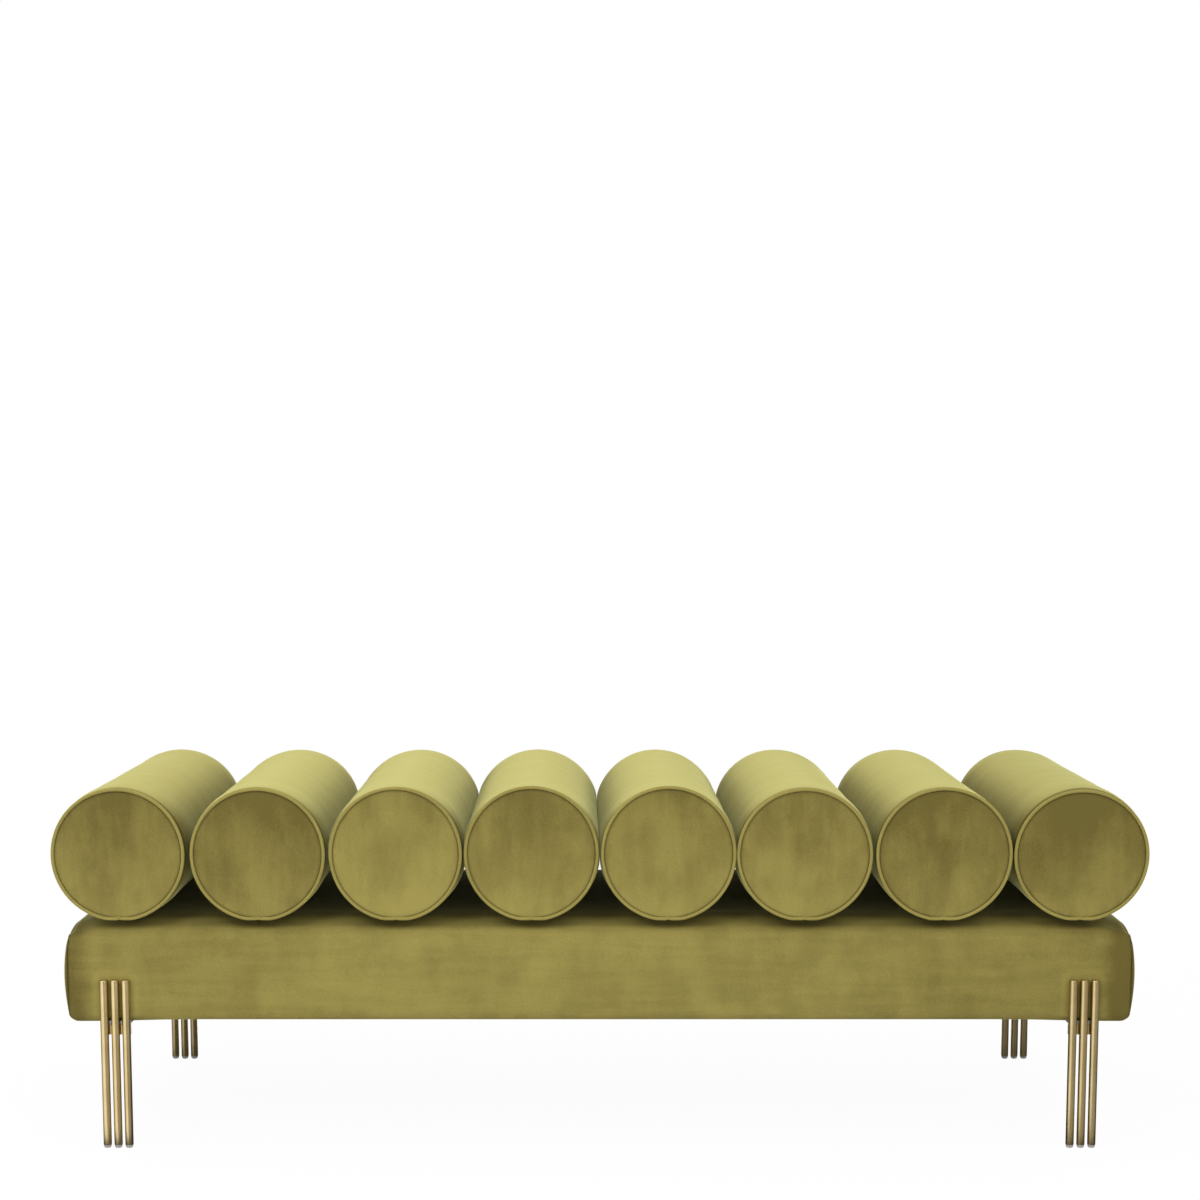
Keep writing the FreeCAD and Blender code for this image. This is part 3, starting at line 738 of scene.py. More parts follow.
class RollShape:
    """Where one roll's cover runs: its middle and half sizes at each place along it."""

    def __init__(self, settings, number):
        self.settings = settings
        shift, half_width, top, back_shift = (value * MM for value in ROLL_PLACES[number][:4])
        to_ring = settings.cord * (1 + WELT_OUT)
        past_seam = settings.cord * (1 + WELT_PAST)
        self.axis = middle(f"roll_cover_{number + 1}").x
        self.seam_y = high_corner(f"roll_welts_{number + 1}").y - past_seam
        self.shift = shift
        self.back_shift = back_shift
        self.paleness = ROLL_PLACES[number][4]
        self.seam_width = half_width - to_ring
        self.seam_top = top - to_ring
        self.seam_bottom = settings.seam_rest + to_ring
        self.meets_left = number > 0
        self.meets_right = number < ROLL_COUNT - 1

    def front_share(self, y):
        """1 at the front of the roll and 0 at its back."""
        return 0.5 - 0.5 * y / self.seam_y

    def middle_x(self, y):
        """The roll's axis at y."""
        front = self.front_share(y)
        return self.axis + self.shift * front + self.back_shift * (1 - front)

    def reach(self, y):
        """0 on the full part of the roll and 1 at the seam."""
        barrel = self.settings.barrel
        return min(1.0, max(0.0, (abs(y) - barrel) / (self.seam_y - barrel)))

    def sizes(self, y):
        """Half width, bottom and top of the cover at y."""
        settings = self.settings
        full = shoulder(self.reach(y))
        front = self.front_share(y)
        half_width = self.seam_width + (settings.half_width - self.seam_width) * full
        seam_top = self.seam_top * front + (settings.top - settings.back_drop) * (1 - front)
        top = seam_top + (settings.top + settings.fullness - seam_top) * full
        bottom = self.seam_bottom + (settings.rest - settings.fullness - self.seam_bottom) * full
        return half_width, bottom, top

    def ring_point(self, angle, y, inset=0.0):
        """A point on the cover's section at y, or inside it by the inset."""
        half_width, bottom, top = self.sizes(y)
        across = math.cos(angle)
        if self.meets_right if across > 0 else self.meets_left:
            half_width += self.settings.press * (1 - self.reach(y) ** 2)
        x = self.middle_x(y) + (half_width - inset) * across
        z = (bottom + top) / 2 + ((top - bottom) / 2 - inset) * math.sin(angle)
        return Vector((x, y, max(z, bottom + REST_FLAT)))


def rim_index(column, row, cells):
    """The place of a disc's edge point on the ring, which runs anticlockwise from lower left."""
    if row == 0:
        return column
    if column == cells:
        return cells + row
    if row == cells:
        return 3 * cells - column
    if column == 0:
        return (4 * cells - row) % (4 * cells)
    return None


def disc_spread(step, cells):
    """Places across a disc from -1 to 1, spaced so that the points on its edge are even."""
    return math.sqrt(2) * math.sin(math.radians(-45 + 90 * step / cells))


# Distances from the seam at which rings of points run round the edge of an end disc.
RIM_INSETS = (0.0010, 0.0022, 0.0040, 0.0065)

# Lengths of the wall's mesh cells at the seams and in its middle.
SEAM_CELL = 0.0012
WALL_CELL = 0.016

# Where the rings start, in degrees anticlockwise from the right: at the lower left.
RING_START = -135


class RollCover:
    """The points and faces of a closed roll cover, the numbers of the points on its two seams, and
    for each point its distance from the nearer seam and whether it lies on an end disc."""

    def __init__(self, settings, shape):
        self.settings = settings
        self.shape = shape
        self.around = 4 * settings.disc_cells
        self.points = []
        self.faces = []
        self.from_seam = []
        self.on_disc = []
        stations = graded(-shape.seam_y, shape.seam_y, SEAM_CELL, WALL_CELL)
        last = (len(stations) - 1) * self.around
        self.seams = [*range(self.around), *range(last, last + self.around)]
        for station, y in enumerate(stations):
            at_seam = station in (0, len(stations) - 1)
            self.add_ring(y, 0.0 if at_seam else settings.shrink, shape.seam_y - abs(y), 0.0)
        for station in range(len(stations) - 1):
            near = station * self.around
            self.join_rings(near + self.around, near)
        self.add_disc(0, -1)
        self.add_disc(last, 1)

    def add_ring(self, y, inset, depth, disc):
        """A ring of points round the cover at y."""
        for step in range(self.around):
            angle = math.radians(RING_START + 360 * step / self.around)
            self.points.append(self.shape.ring_point(angle, y, inset))
            self.from_seam.append(depth)
            self.on_disc.append(disc)

    def join_rings(self, first, second, reverse=False):
        """Faces between two rings, given by their first points."""
        for step in range(self.around):
            after = (step + 1) % self.around
            face = (first + step, first + after, second + after, second + step)
            self.faces.append(face[::-1] if reverse else face)

    def crown(self, reach):
        """How far a disc stands out where it is this share of the way from its middle to its rim."""
        return self.settings.crown * (1 - reach * reach) ** 0.8

    def add_disc(self, rim, side):
        """An end disc: rings near its rim, and a grid bent to a circle inside them."""
        shape = self.shape
        cells = self.settings.disc_cells
        seam = side * shape.seam_y
        half_width, bottom, top = shape.sizes(seam)
        for inset in RIM_INSETS:
            first = len(self.points)
            self.add_ring(seam, inset, inset, 1.0)
            for point in self.points[first:]:
                point.y = seam + side * self.crown(1 - inset / half_width)
            self.join_rings(rim, first, reverse=side > 0)
            rim = first
        inner = 1 - RIM_INSETS[-1] / half_width
        numbers = {}
        for row in range(cells + 1):
            for column in range(cells + 1):
                place = rim_index(column, row, cells)
                if place is not None:
                    numbers[column, row] = rim + place
                    continue
                across = disc_spread(column, cells)
                up = disc_spread(row, cells)
                x_share = inner * across * math.sqrt(1 - up * up / 2)
                z_share = inner * up * math.sqrt(1 - across * across / 2)
                reach = math.hypot(x_share, z_share)
                x = shape.middle_x(seam) + half_width * x_share
                z = (bottom + top) / 2 + (top - bottom) / 2 * z_share
                numbers[column, row] = len(self.points)
                self.points.append(Vector((x, seam + side * self.crown(reach), z)))
                self.from_seam.append(half_width * (1 - reach))
                self.on_disc.append(1.0)
        for row in range(cells):
            for column in range(cells):
                corners = [
                    numbers[column, row],
                    numbers[column + 1, row],
                    numbers[column + 1, row + 1],
                    numbers[column, row + 1],
                ]
                self.faces.append(corners if side < 0 else corners[::-1])


# How the cover's cloth behaves while its filling presses it out.
COVER_CLOTH = {
    "quality": 4,
    "mass": 0.25,
    "tension_stiffness": 18,
    "compression_stiffness": 18,
    "shear_stiffness": 8,
    "bending_stiffness": 0.6,
}


def fill_with_pressure(pieces, settings):
    """Simulates the pieces as cloth that their filling presses out, and keeps the result."""
    starts = {piece: read_points(piece.data) for piece in pieces}
    for piece in pieces:
        cloth = piece.modifiers.new("cover", "CLOTH")
        cloth.point_cache.frame_start = 1
        cloth.point_cache.frame_end = settings.frames
        for name, value in COVER_CLOTH.items():
            setattr(cloth.settings, name, value)
        cloth.settings.use_pressure = True
        cloth.settings.uniform_pressure_force = settings.pressure
        cloth.settings.vertex_group_mass = "seams"
        cloth.settings.effector_weights.gravity = 0
        cloth.collision_settings.use_collision = False
    scene = bpy.context.scene
    for moment in range(1, settings.frames + 1):
        scene.frame_set(moment)
    for piece in pieces:
        graph = bpy.context.evaluated_depsgraph_get()
        filled = bpy.data.meshes.new_from_object(piece.evaluated_get(graph), depsgraph=graph)
        moves = read_points(filled) - starts[piece]
        bpy.data.meshes.remove(filled)
        piece.modifiers.clear()
        reach = np.linalg.norm(moves, axis=1)
        held = np.minimum(1.0, settings.give / np.maximum(reach, 1e-9))
        write_points(piece.data, starts[piece] + moves * held[:, None])
    scene.frame_set(1)


def soft_limit(room, softness):
    """Keeps a distance above zero, with a soft turn where it meets zero."""
    return 0.5 * (room + np.sqrt(room * room + 4 * softness * softness))


def puff(depths, height, rise, reach):
    """How far cloth swells beside a seam: nothing on the seam, and most a little way from it."""
    return height * (1 - np.exp(-depths / rise)) * np.exp(-depths / reach)


# Small forms of a filled cover, in metres: its lumps and dents, which fade out beside the seams,
# the gathers of its wall beside a welt, and the rise and reach of the swelling beside a seam.
ROLL_LUMP_HEIGHT = 0.0007
ROLL_LUMP_SIZE = 0.11
ROLL_DENT_HEIGHT = 0.00025
ROLL_DENT_SIZE = 0.035
SMOOTH_STRIP = 0.004
GATHERS = 46
GATHER_HEIGHT = 0.00022
GATHER_REACH = 0.014
GATHER_WANDER = 2.2
GATHER_SIZE = 0.02
DISC_SWELL = (0.0018, 0.018)
WALL_SWELL = (0.0022, 0.030)


def swell_roll(piece, settings, cover, seed):
    """Swells a filled roll beside its welts, and gives it lumps, dents and gathers."""
    shape = cover.shape
    points = read_points(piece.data)
    depths = np.array(cover.from_seam)
    on_disc = np.array(cover.on_disc) > 0.5
    lumps = ROLL_LUMP_HEIGHT * unevenness(points, ROLL_LUMP_SIZE, seed)
    lumps += ROLL_DENT_HEIGHT * unevenness(points, ROLL_DENT_SIZE, seed)
    angles = np.arctan2(points[:, 2] - settings.top + settings.half_width, points[:, 0] - shape.axis)
    wander = GATHER_WANDER * unevenness(points, GATHER_SIZE, seed + 20)
    gathers = GATHER_HEIGHT * np.sin(angles * GATHERS + wander) * np.exp(-depths / GATHER_REACH)
    lumps += np.where(on_disc, 0.0, gathers)
    swelling = np.where(
        on_disc,
        puff(depths, settings.disc_puff, *DISC_SWELL),
        puff(depths, settings.wall_puff, *WALL_SWELL),
    )
    move_along_normals(piece.data, lumps * smooth_steps(depths / SMOOTH_STRIP) + swelling)


# Half the gap left between two rolls, and how softly a roll turns flat where it presses.
ROLL_GAP = 0.00015
SIDE_SOFTNESS = 0.0003
REST_SOFTNESS = 0.0002


def press_roll(piece, settings, covers, number):
    """Flattens a roll where it presses on its neighbours and on the seat."""
    shape = covers[number].shape
    points = read_points(piece.data)
    middles = [cover.shape.middle_x(points[:, 1]) for cover in covers]
    if shape.meets_left:
        wall = (middles[number - 1] + middles[number]) / 2 + ROLL_GAP
        points[:, 0] = wall + soft_limit(points[:, 0] - wall, SIDE_SOFTNESS)
    if shape.meets_right:
        wall = (middles[number + 1] + middles[number]) / 2 - ROLL_GAP
        points[:, 0] = wall - soft_limit(wall - points[:, 0], SIDE_SOFTNESS)
    seat = settings.rest + ROLL_GAP
    points[:, 2] = seat + soft_limit(points[:, 2] - seat, REST_SOFTNESS)
    write_points(piece.data, points)


# How the colour of a roll varies: where the painted top sheen on its wall starts, as a share of half
# its height, how much darker the tops of its discs are than their bottoms, how much darker painted
# shade makes its wall and how much paler the painted top sheen makes it, how much less the painted top
# sheen of the two outer rolls shows and where this starts, and the tone and size of the clouds of its
# pile.
TOP_SHEEN_START = 0.40
DISC_TOP_DEEPER = 0.34
WALL_SHADE = 0.56
TOP_SHEEN_PALER = 0.5
OUTER_ROLLS_START = 0.58
OUTER_ROLLS_BLEND = 0.06
OUTER_ROLLS_LESS = 0.18
ROLL_CLOUD_TONE = 0.05
ROLL_CLOUD_SIZE = 0.4

# How far from the seam the painted shade in the seam reaches, on a disc and on the wall.
DISC_SEAM_SHADE = 0.0027
WALL_SEAM_SHADE = 0.0068


def brush_roll(piece, settings, cover, seed):
    """Marks for the velvet: the tone of a roll's pile, its painted top sheen, and the painted shade on
    its wall and in its seams.
    """
    points = read_points(piece.data)
    depths = np.array(cover.from_seam)
    on_disc = np.array(cover.on_disc) > 0.5
    half_height = (settings.top - settings.rest) / 2
    up = np.clip((points[:, 2] - settings.rest) / half_height - 1, -1, 1)
    outer = smooth_steps((np.abs(points[:, 0]) - OUTER_ROLLS_START) / OUTER_ROLLS_BLEND)
    # Painted top sheen on the tops of the rolls, weaker on the two outer rolls.
    crest = smooth_steps((up - TOP_SHEEN_START) / (1 - TOP_SHEEN_START)) * (1 - OUTER_ROLLS_LESS * outer)
    # Painted shade in the seams: darkest on the seam and fading away from it.
    crease = np.where(on_disc, (depths / DISC_SEAM_SHADE) ** 2, (depths / WALL_SEAM_SHADE) ** 3)
    nap = ROLL_CLOUD_TONE * unevenness(points, ROLL_CLOUD_SIZE, seed + 40)
    disc_tone = cover.shape.paleness - DISC_TOP_DEEPER * up
    # The wall gets painted shade, and the painted top sheen makes its top paler.
    nap += np.where(on_disc, disc_tone, TOP_SHEEN_PALER * crest - WALL_SHADE)
    mark_points(piece, "upright", on_disc)
    mark_points(piece, "crease", np.exp(-crease))
    mark_points(piece, "crest", np.where(on_disc, 0.0, crest))
    mark_points(piece, "nap", nap)


class DIVAN_OT_rolls(bpy.types.Operator):
    """Make the eight velvet roll covers, filled by simulation"""

    bl_idname = "divan.rolls"
    bl_label = "Rolls"

    def execute(self, context):
        settings = context.scene.divan_rolls
        material = bpy.data.materials["olive_velvet"]
        covers = []
        pieces = []
        for number in range(ROLL_COUNT):
            cover = RollCover(settings, RollShape(settings, number))
            piece = add_piece(f"bolster_{number + 1}", cover.points, cover.faces, material)
            piece.vertex_groups.new(name="seams").add(cover.seams, 1.0, "REPLACE")
            covers.append(cover)
            pieces.append(piece)
        fill_with_pressure(pieces, settings)
        for number, piece in enumerate(pieces):
            seed = number + 1
            swell_roll(piece, settings, covers[number], seed)
            press_roll(piece, settings, covers, number)
            brush_roll(piece, settings, covers[number], seed)
            crease_seams(piece)
            subdivide(piece, 1)
            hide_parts(f"roll_cover_{number + 1}", f"roll_foam_{number + 1}")
            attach(piece, BODY)
        return {"FINISHED"}


def crease_seams(piece):
    """Keeps the edge where disc and wall are sewn together sharp when the mesh is divided."""
    mesh = piece.data
    sewn = [bool(vertex.groups) for vertex in mesh.vertices]
    creases = mesh.attributes.new("crease_edge", "FLOAT", "EDGE")
    creases.data.foreach_set(
        "value", [float(sewn[a] and sewn[b]) for a, b in (edge.vertices for edge in mesh.edges)]
    )
    piece.vertex_groups.clear()


# A welt: the steps along it, the angle from the bottom of the disc to each of its two ends, how
# far these turn in and up, the facets round it, the length of its cells and how much paler it is
# painted, a painted sheen on the round cord.
WELT_STEPS = 132
WELT_GAP = math.radians(0.9)
WELT_TURN_IN = 0.0006
WELT_TURN_UP = 0.0030
WELT_SIDES = 16
WELT_CELL = 0.003
WELT_SHEEN = 0.30


def welt_path(settings, shape, side):
    """Points along a welt, from one turned-in end at the bottom round to the other."""
    y = side * shape.seam_y
    path = []
    for step in range(WELT_STEPS + 1):
        angle = math.radians(-90) + WELT_GAP + (math.tau - 2 * WELT_GAP) * step / WELT_STEPS
        point = shape.ring_point(angle, y, -settings.cord * WELT_OUT)
        path.append(Vector((point.x, y + side * settings.cord * WELT_PAST, point.z)))
    turn = Vector((0, -side * WELT_TURN_IN, WELT_TURN_UP))
    return [path[0] + turn, *path, path[-1] + turn]


class DIVAN_OT_welts(bpy.types.Operator):
    """Make the welt round each end disc of each roll"""

    bl_idname = "divan.welts"
    bl_label = "Welts"

    def execute(self, context):
        settings = context.scene.divan_rolls
        material = bpy.data.materials["olive_velvet"]
        tree = piping_tree()
        for number in range(ROLL_COUNT):
            shape = RollShape(settings, number)
            points = []
            edges = []
            for side in (-1, 1):
                path = welt_path(settings, shape, side)
                start = len(points)
                points.extend(path)
                edges.extend((start + step, start + step + 1) for step in range(len(path) - 1))
            mesh = bpy.data.meshes.new(f"bolster_welts_{number + 1}")
            mesh.from_pydata([tuple(point) for point in points], edges, [])
            piece = bpy.data.objects.new(mesh.name, mesh)
            context.scene.collection.objects.link(piece)
            values = {
                "Cord Radius": settings.cord,
                "Sides": WELT_SIDES,
                "Step": WELT_CELL,
                "Finish": material,
            }
            add_tree(piece, tree, values)
            bake_modifiers(piece)
            # The cord is painted paler: a painted sheen.
            mark_points(piece, "nap", np.full(len(piece.data.vertices), WELT_SHEEN))
            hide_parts(f"roll_welts_{number + 1}")
            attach(piece, BODY)
        return {"FINISHED"}


# The upholstered base


def arc_points(centre, radius, start, end, steps):
    """Points on an arc, with its angles in degrees."""
    found = []
    for step in range(steps + 1):
        angle = math.radians(start + (end - start) * step / steps)
        found.append((centre[0] + radius * math.cos(angle), centre[1] + radius * math.sin(angle)))
    return found


def even_points(line, cells, gather=0.0):
    """Resamples a line into equal cells, or with the cells gathered towards its two ends."""
    line = np.array(line)
    runs = np.linalg.norm(np.diff(line, axis=0), axis=1)
    reached = np.concatenate([[0], np.cumsum(runs)]) / runs.sum()
    steps = np.arange(cells + 1) / cells
    steps = steps * (1 - gather) + gather * (1 - np.cos(np.pi * steps)) / 2
    return np.stack([np.interp(steps, reached, line[:, axis]) for axis in (0, 1)], axis=1)


# Mesh cells over the height of the base's faces and over the depth of its top, how much the
# latter gather towards the edges, and the steps of the outline's arcs, faces and slopes.
FACE_CELLS = 30
TOP_CELLS = 52
EDGE_GATHER = 0.7
ARC_STEPS = 8
FACE_STEPS = 24
SLOPE_STEPS = 15


def base_section(settings):
    """The base's cross section as (y, z) points: front, top, back and bottom, in turn, each from
    the middle of one rounded edge to the middle of the next."""
    low_round = settings.bottom_round
    high_round = settings.top_round
    side = settings.half_depth - settings.face_bulge
    low = settings.bottom + low_round
    high = settings.edge - high_round
    front = arc_points((-side + low_round, low), low_round, 225, 180, ARC_STEPS)
    for step in range(1, FACE_STEPS):
        share_up = step / FACE_STEPS
        swell = settings.face_bulge * math.sin(math.pi * share_up) ** 0.9
        front.append((-side - swell, low + (high - low) * share_up))
    front += arc_points((-side + high_round, high), high_round, 180, 135, ARC_STEPS)
    half_top = arc_points((-side + high_round, high), high_round, 135, 90, ARC_STEPS)
    run = side - high_round - settings.flat_y
    for step in range(1, SLOPE_STEPS + 1):
        share_in = step / SLOPE_STEPS
        rise = (settings.top - settings.edge) * (1 - (1 - share_in) ** 2)
        half_top.append((-side + high_round + run * share_in, settings.edge + rise))
    half_bottom = arc_points((side - low_round, low), low_round, -45, -90, ARC_STEPS)
    top = half_top + [(-y, z) for y, z in reversed(half_top)]
    back = [(-y, z) for y, z in reversed(front)]
    bottom = half_bottom + [(-y, z) for y, z in reversed(half_bottom)]
    return (
        even_points(front, FACE_CELLS),
        even_points(top, TOP_CELLS, EDGE_GATHER),
        even_points(back, FACE_CELLS),
        even_points(bottom, TOP_CELLS, EDGE_GATHER),
    )


# Length of the slope by which the top falls to its edge at each end.
END_SLOPE = 0.048

# The share of a bottom corner's radius that lies inside the end seam.
CORNER_INSIDE = 0.92

# The bottom's front and back edges hang lower than its middle, and more so towards the ends. For
# each of the two: the distance from the middle at which it starts, the run over which it grows,
# and how much it is.
HANG_START = 0.236
HANG_BLEND = 0.012
HANG = 0.0022
END_HANG_START = 0.600
END_HANG_BLEND = 0.150
END_HANG = 0.0026


def top_fall(settings, x):
    """How far the top lies below its middle at a distance x from the middle of the base."""
    past = abs(x) - settings.flat_x
    if past <= 0:
        return 0.0
    fall = (settings.top - settings.edge) * min(1.0, past / END_SLOPE) ** 2
    past_slope = past - END_SLOPE
    if past_slope > 0:
        fall += settings.top_round - math.sqrt(max(0.0, settings.top_round**2 - past_slope**2))
    return fall


def bottom_rise(settings, x):
    """How far the bottom lifts at a distance x from the middle, round the corners of the ends."""
    past = abs(x) - settings.seam_x + settings.foot_round * CORNER_INSIDE
    if past <= 0:
        return 0.0
    return settings.foot_round - math.sqrt(settings.foot_round**2 - past**2)


def base_point(settings, x, y, z):
    """A section point carried to x: the top falls and the bottom rises towards the ends, and the
    front and back bottom edges hang."""
    tall = settings.top - settings.bottom
    share_up = (z - settings.bottom) / tall
    z -= top_fall(settings, x) * share_up
    z += bottom_rise(settings, x) * (1 - min(1.0, share_up)) ** 2
    at_edge = smooth_steps(np.array((abs(y) - HANG_START) / HANG_BLEND))
    at_end = smooth_steps(np.array((abs(x) - END_HANG_START) / END_HANG_BLEND))
    hang = HANG + END_HANG * at_end
    z -= float(hang * at_edge * (1 - min(1.0, share_up * 4)) ** 2)
    return Vector((x, y, z))


# Steps between the base's stations: the plain one, the one near a leg, and the least one, to which
# they shrink as a share of the distance to the seam. Then what counts as near a leg.
PLAIN_STEP = 0.016
LEG_STEP = 0.0045
SEAM_STEP = 0.0011
SEAM_SHARE = 0.30
NEAR_LEG = 0.055


def base_stations(settings):
    """Places along the base, close together at the seams and by the legs."""
    half = [0.0]
    legs = middle("leg_rods_front_right").x
    while half[-1] < settings.seam_x:
        x = half[-1]
        to_seam = settings.seam_x - x
        step = LEG_STEP if abs(x - legs) < NEAR_LEG else PLAIN_STEP
        step = min(step, max(SEAM_STEP, to_seam * SEAM_SHARE))
        half.append(min(settings.seam_x, x + step))
    return [-x for x in reversed(half[1:])] + half


def coons_patch(front, top, back, bottom):
    """Fills a four sided ring with a grid of points, indexed by step up and step back."""
    up_cells = len(front) - 1
    in_cells = len(top) - 1
    grid = {}
    for up in range(up_cells + 1):
        v = up / up_cells
        for inward in range(in_cells + 1):
            u = inward / in_cells
            left = front[up]
            right = back[up_cells - up]
            low = bottom[in_cells - inward]
            high = top[inward]
            corners = (
                front[0] * ((1 - u) * (1 - v))
                + front[-1] * ((1 - u) * v)
                + back[0] * (u * v)
                + back[-1] * (u * (1 - v))
            )
            grid[up, inward] = left * (1 - u) + right * u + low * (1 - v) + high * v - corners
    return grid


# The patch of velvet that a leg's rods press flat: half its width, how far it reaches over the
# rods, the radius of its corners, the width of its edge and the gap between velvet and rods.
PATCH_HALF_WIDTH = 0.0335
PATCH_OVER_RODS = 0.0125
PATCH_CORNER = 0.014
PATCH_EDGE = 0.007
BEHIND_RODS = 0.0002


def leg_patch(x, z):
    """1 on the patch of velvet behind a leg's rods and 0 away from it."""
    rods = middle("leg_rods_front_right").x
    top = high_corner("leg_rods_front_right").z + PATCH_OVER_RODS
    across = np.abs(np.abs(x) - rods) - (PATCH_HALF_WIDTH - PATCH_CORNER)
    up = z - (top - PATCH_CORNER)
    outside = np.hypot(np.maximum(across, 0), np.maximum(up, 0)) - PATCH_CORNER
    inside = np.minimum(np.maximum(across, up), 0)
    return smooth_steps(0.5 - (outside + inside) / PATCH_EDGE)


# Small forms of the base's velvet, in metres: its lumps and dents, the furrow of an end seam and
# the fold beside it, and the upright pulls beside each leg, with their place inward of the leg and
# over the bottom. The face strip is the part of the depth that counts as the front or back face.
# The lumps fade out by the seams, the bottom and the seat, and most of the furrow at the corners.
BASE_SEED = 30
BASE_LUMP_HEIGHT = 0.0009
BASE_LUMP_SIZE = 0.16
BASE_DENT_HEIGHT = 0.0003
BASE_DENT_SIZE = 0.05
SEAM_FADE = 0.02
BOTTOM_FADE_START = 0.001
BOTTOM_FADE = 0.008
SEAT_FADE_START = 0.02
SEAT_FADE = 0.03
CORNER_FADE = 0.03
CORNER_FURROW = 0.2
FURROW_WIDTH = 0.0016
FOLD_HEIGHT = 0.0006
FOLD_PLACE = 0.0045
FOLD_WIDTH = 0.0028
PULL_HEIGHT = 0.0006
PULL_SIZE = 0.011
PULL_STRETCH = (1.0, 1.0, 0.28)
PULL_PLACE = (0.055, 0.030)
PULL_REACH = (0.020, 0.045)
FACE_STRIP = 0.006


def base_lumps(settings, points):
    """How far the base's velvet stands out at each point, from its lumps, dents, seams and pulls."""
    x, y, z = points.T
    to_seam = np.abs(np.abs(x) - settings.seam_x)
    lumps = BASE_LUMP_HEIGHT * unevenness(points, BASE_LUMP_SIZE, BASE_SEED + 1)
    lumps += BASE_DENT_HEIGHT * unevenness(points, BASE_DENT_SIZE, BASE_SEED + 2)
    off_seam = smooth_steps(to_seam / SEAM_FADE)
    off_bottom = smooth_steps((z - settings.bottom - BOTTOM_FADE_START) / BOTTOM_FADE)
    off_seat = smooth_steps((np.abs(y) - settings.flat_y + SEAT_FADE_START) / SEAT_FADE)
    lumps *= off_seam * off_bottom * np.where(z > settings.edge, off_seat, 1.0)
    off_corner = smooth_steps((z - settings.bottom - settings.foot_round) / CORNER_FADE)
    furrow = settings.seam_sink * (CORNER_FURROW + (1 - CORNER_FURROW) * off_corner)
    furrow *= np.exp(-((to_seam / FURROW_WIDTH) ** 2))
    fold = FOLD_HEIGHT * np.exp(-(((to_seam - FOLD_PLACE) / FOLD_WIDTH) ** 2))
    inward = middle("leg_rods_front_right").x - np.abs(x)
    by_leg = np.exp(-(((inward - PULL_PLACE[0]) / PULL_REACH[0]) ** 2))
    by_leg *= np.exp(-(((z - settings.bottom - PULL_PLACE[1]) / PULL_REACH[1]) ** 2))
    pulls = PULL_HEIGHT * unevenness(points * PULL_STRETCH, PULL_SIZE, BASE_SEED + 3) * by_leg
    pulls *= on_face(settings, y)
    return lumps - furrow + pulls + np.where(np.abs(x) < settings.seam_x, fold, 0.0)


def on_face(settings, y):
    """1 on the base's front and back faces and 0 elsewhere."""
    return (np.abs(y) > settings.half_depth - FACE_STRIP).astype(float)


# How the colour of the base's velvet varies: the tone and size of the clouds of its pile, how much
# paler its pile is behind the rods, how much paler a painted pool of light makes its middle, how
# much deeper painted shade makes it to the right, how much deeper it is all over and at the ends,
# how much deeper painted shade makes its top under the rolls, and the painted shade in the end seams.
BASE_CLOUD_TONE = 0.06
BASE_CLOUD_SIZE = 0.030
PRESSED_PALER = 0.20
MIDDLE_LIGHT = 0.28
RIGHT_SHADE = 0.10
ALL_DEEPER = 0.08
END_DEEPER = 0.6
END_START = 0.735
END_BLEND = 0.040
UNDER_ROLLS_SHADE = 0.9
UNDER_ROLLS_INSET = 0.035
UNDER_ROLLS_BLEND = 0.03
BASE_SEAM_SHADE = 0.0018
BASE_SEAM_SHADE_DEPTH = 0.8


def rumple_base(piece, settings):
    """Puts the velvet's small unevenness, its seam furrows and the patches behind the legs into
    the base, and marks the tone of its pile together with a painted pool of light in its middle,
    painted shade to the right and under the rolls, and painted shade in its end seams."""
    mesh = piece.data
    even = read_points(mesh)
    x, y, z = even.T
    pressed = leg_patch(x, z) * on_face(settings, y)
    move_along_normals(mesh, base_lumps(settings, even))
    points = read_points(mesh)
    against_rods = abs(high_corner("leg_rods_front_right").y + BEHIND_RODS)
    points[:, 1] += (np.sign(points[:, 1]) * against_rods - points[:, 1]) * pressed
    write_points(mesh, points)
    across = points[:, 0] / settings.seam_x
    nap = BASE_CLOUD_TONE * unevenness(even * PULL_STRETCH, BASE_CLOUD_SIZE, BASE_SEED + 4)
    nap += PRESSED_PALER * pressed
    # A painted pool of light makes the middle paler, and painted shade makes the right deeper.
    nap += MIDDLE_LIGHT * (1 - across**2) - RIGHT_SHADE * across - ALL_DEEPER
    nap -= END_DEEPER * smooth_steps((np.abs(x) - END_START) / END_BLEND)
    # Painted shade on the top under the rolls.
    under_rolls = settings.half_depth - UNDER_ROLLS_INSET - np.abs(points[:, 1])
    shaded_under_rolls = smooth_steps(under_rolls / UNDER_ROLLS_BLEND)
    nap -= UNDER_ROLLS_SHADE * shaded_under_rolls * (points[:, 2] > settings.edge - settings.top_round)
    to_seam = np.abs(np.abs(x) - settings.seam_x)
    mark_points(piece, "nap", nap)
    mark_points(piece, "along", np.ones(len(points)))
    # Painted shade in the end seams of the base.
    mark_points(piece, "crease", BASE_SEAM_SHADE_DEPTH * np.exp(-((to_seam / BASE_SEAM_SHADE) ** 2)))


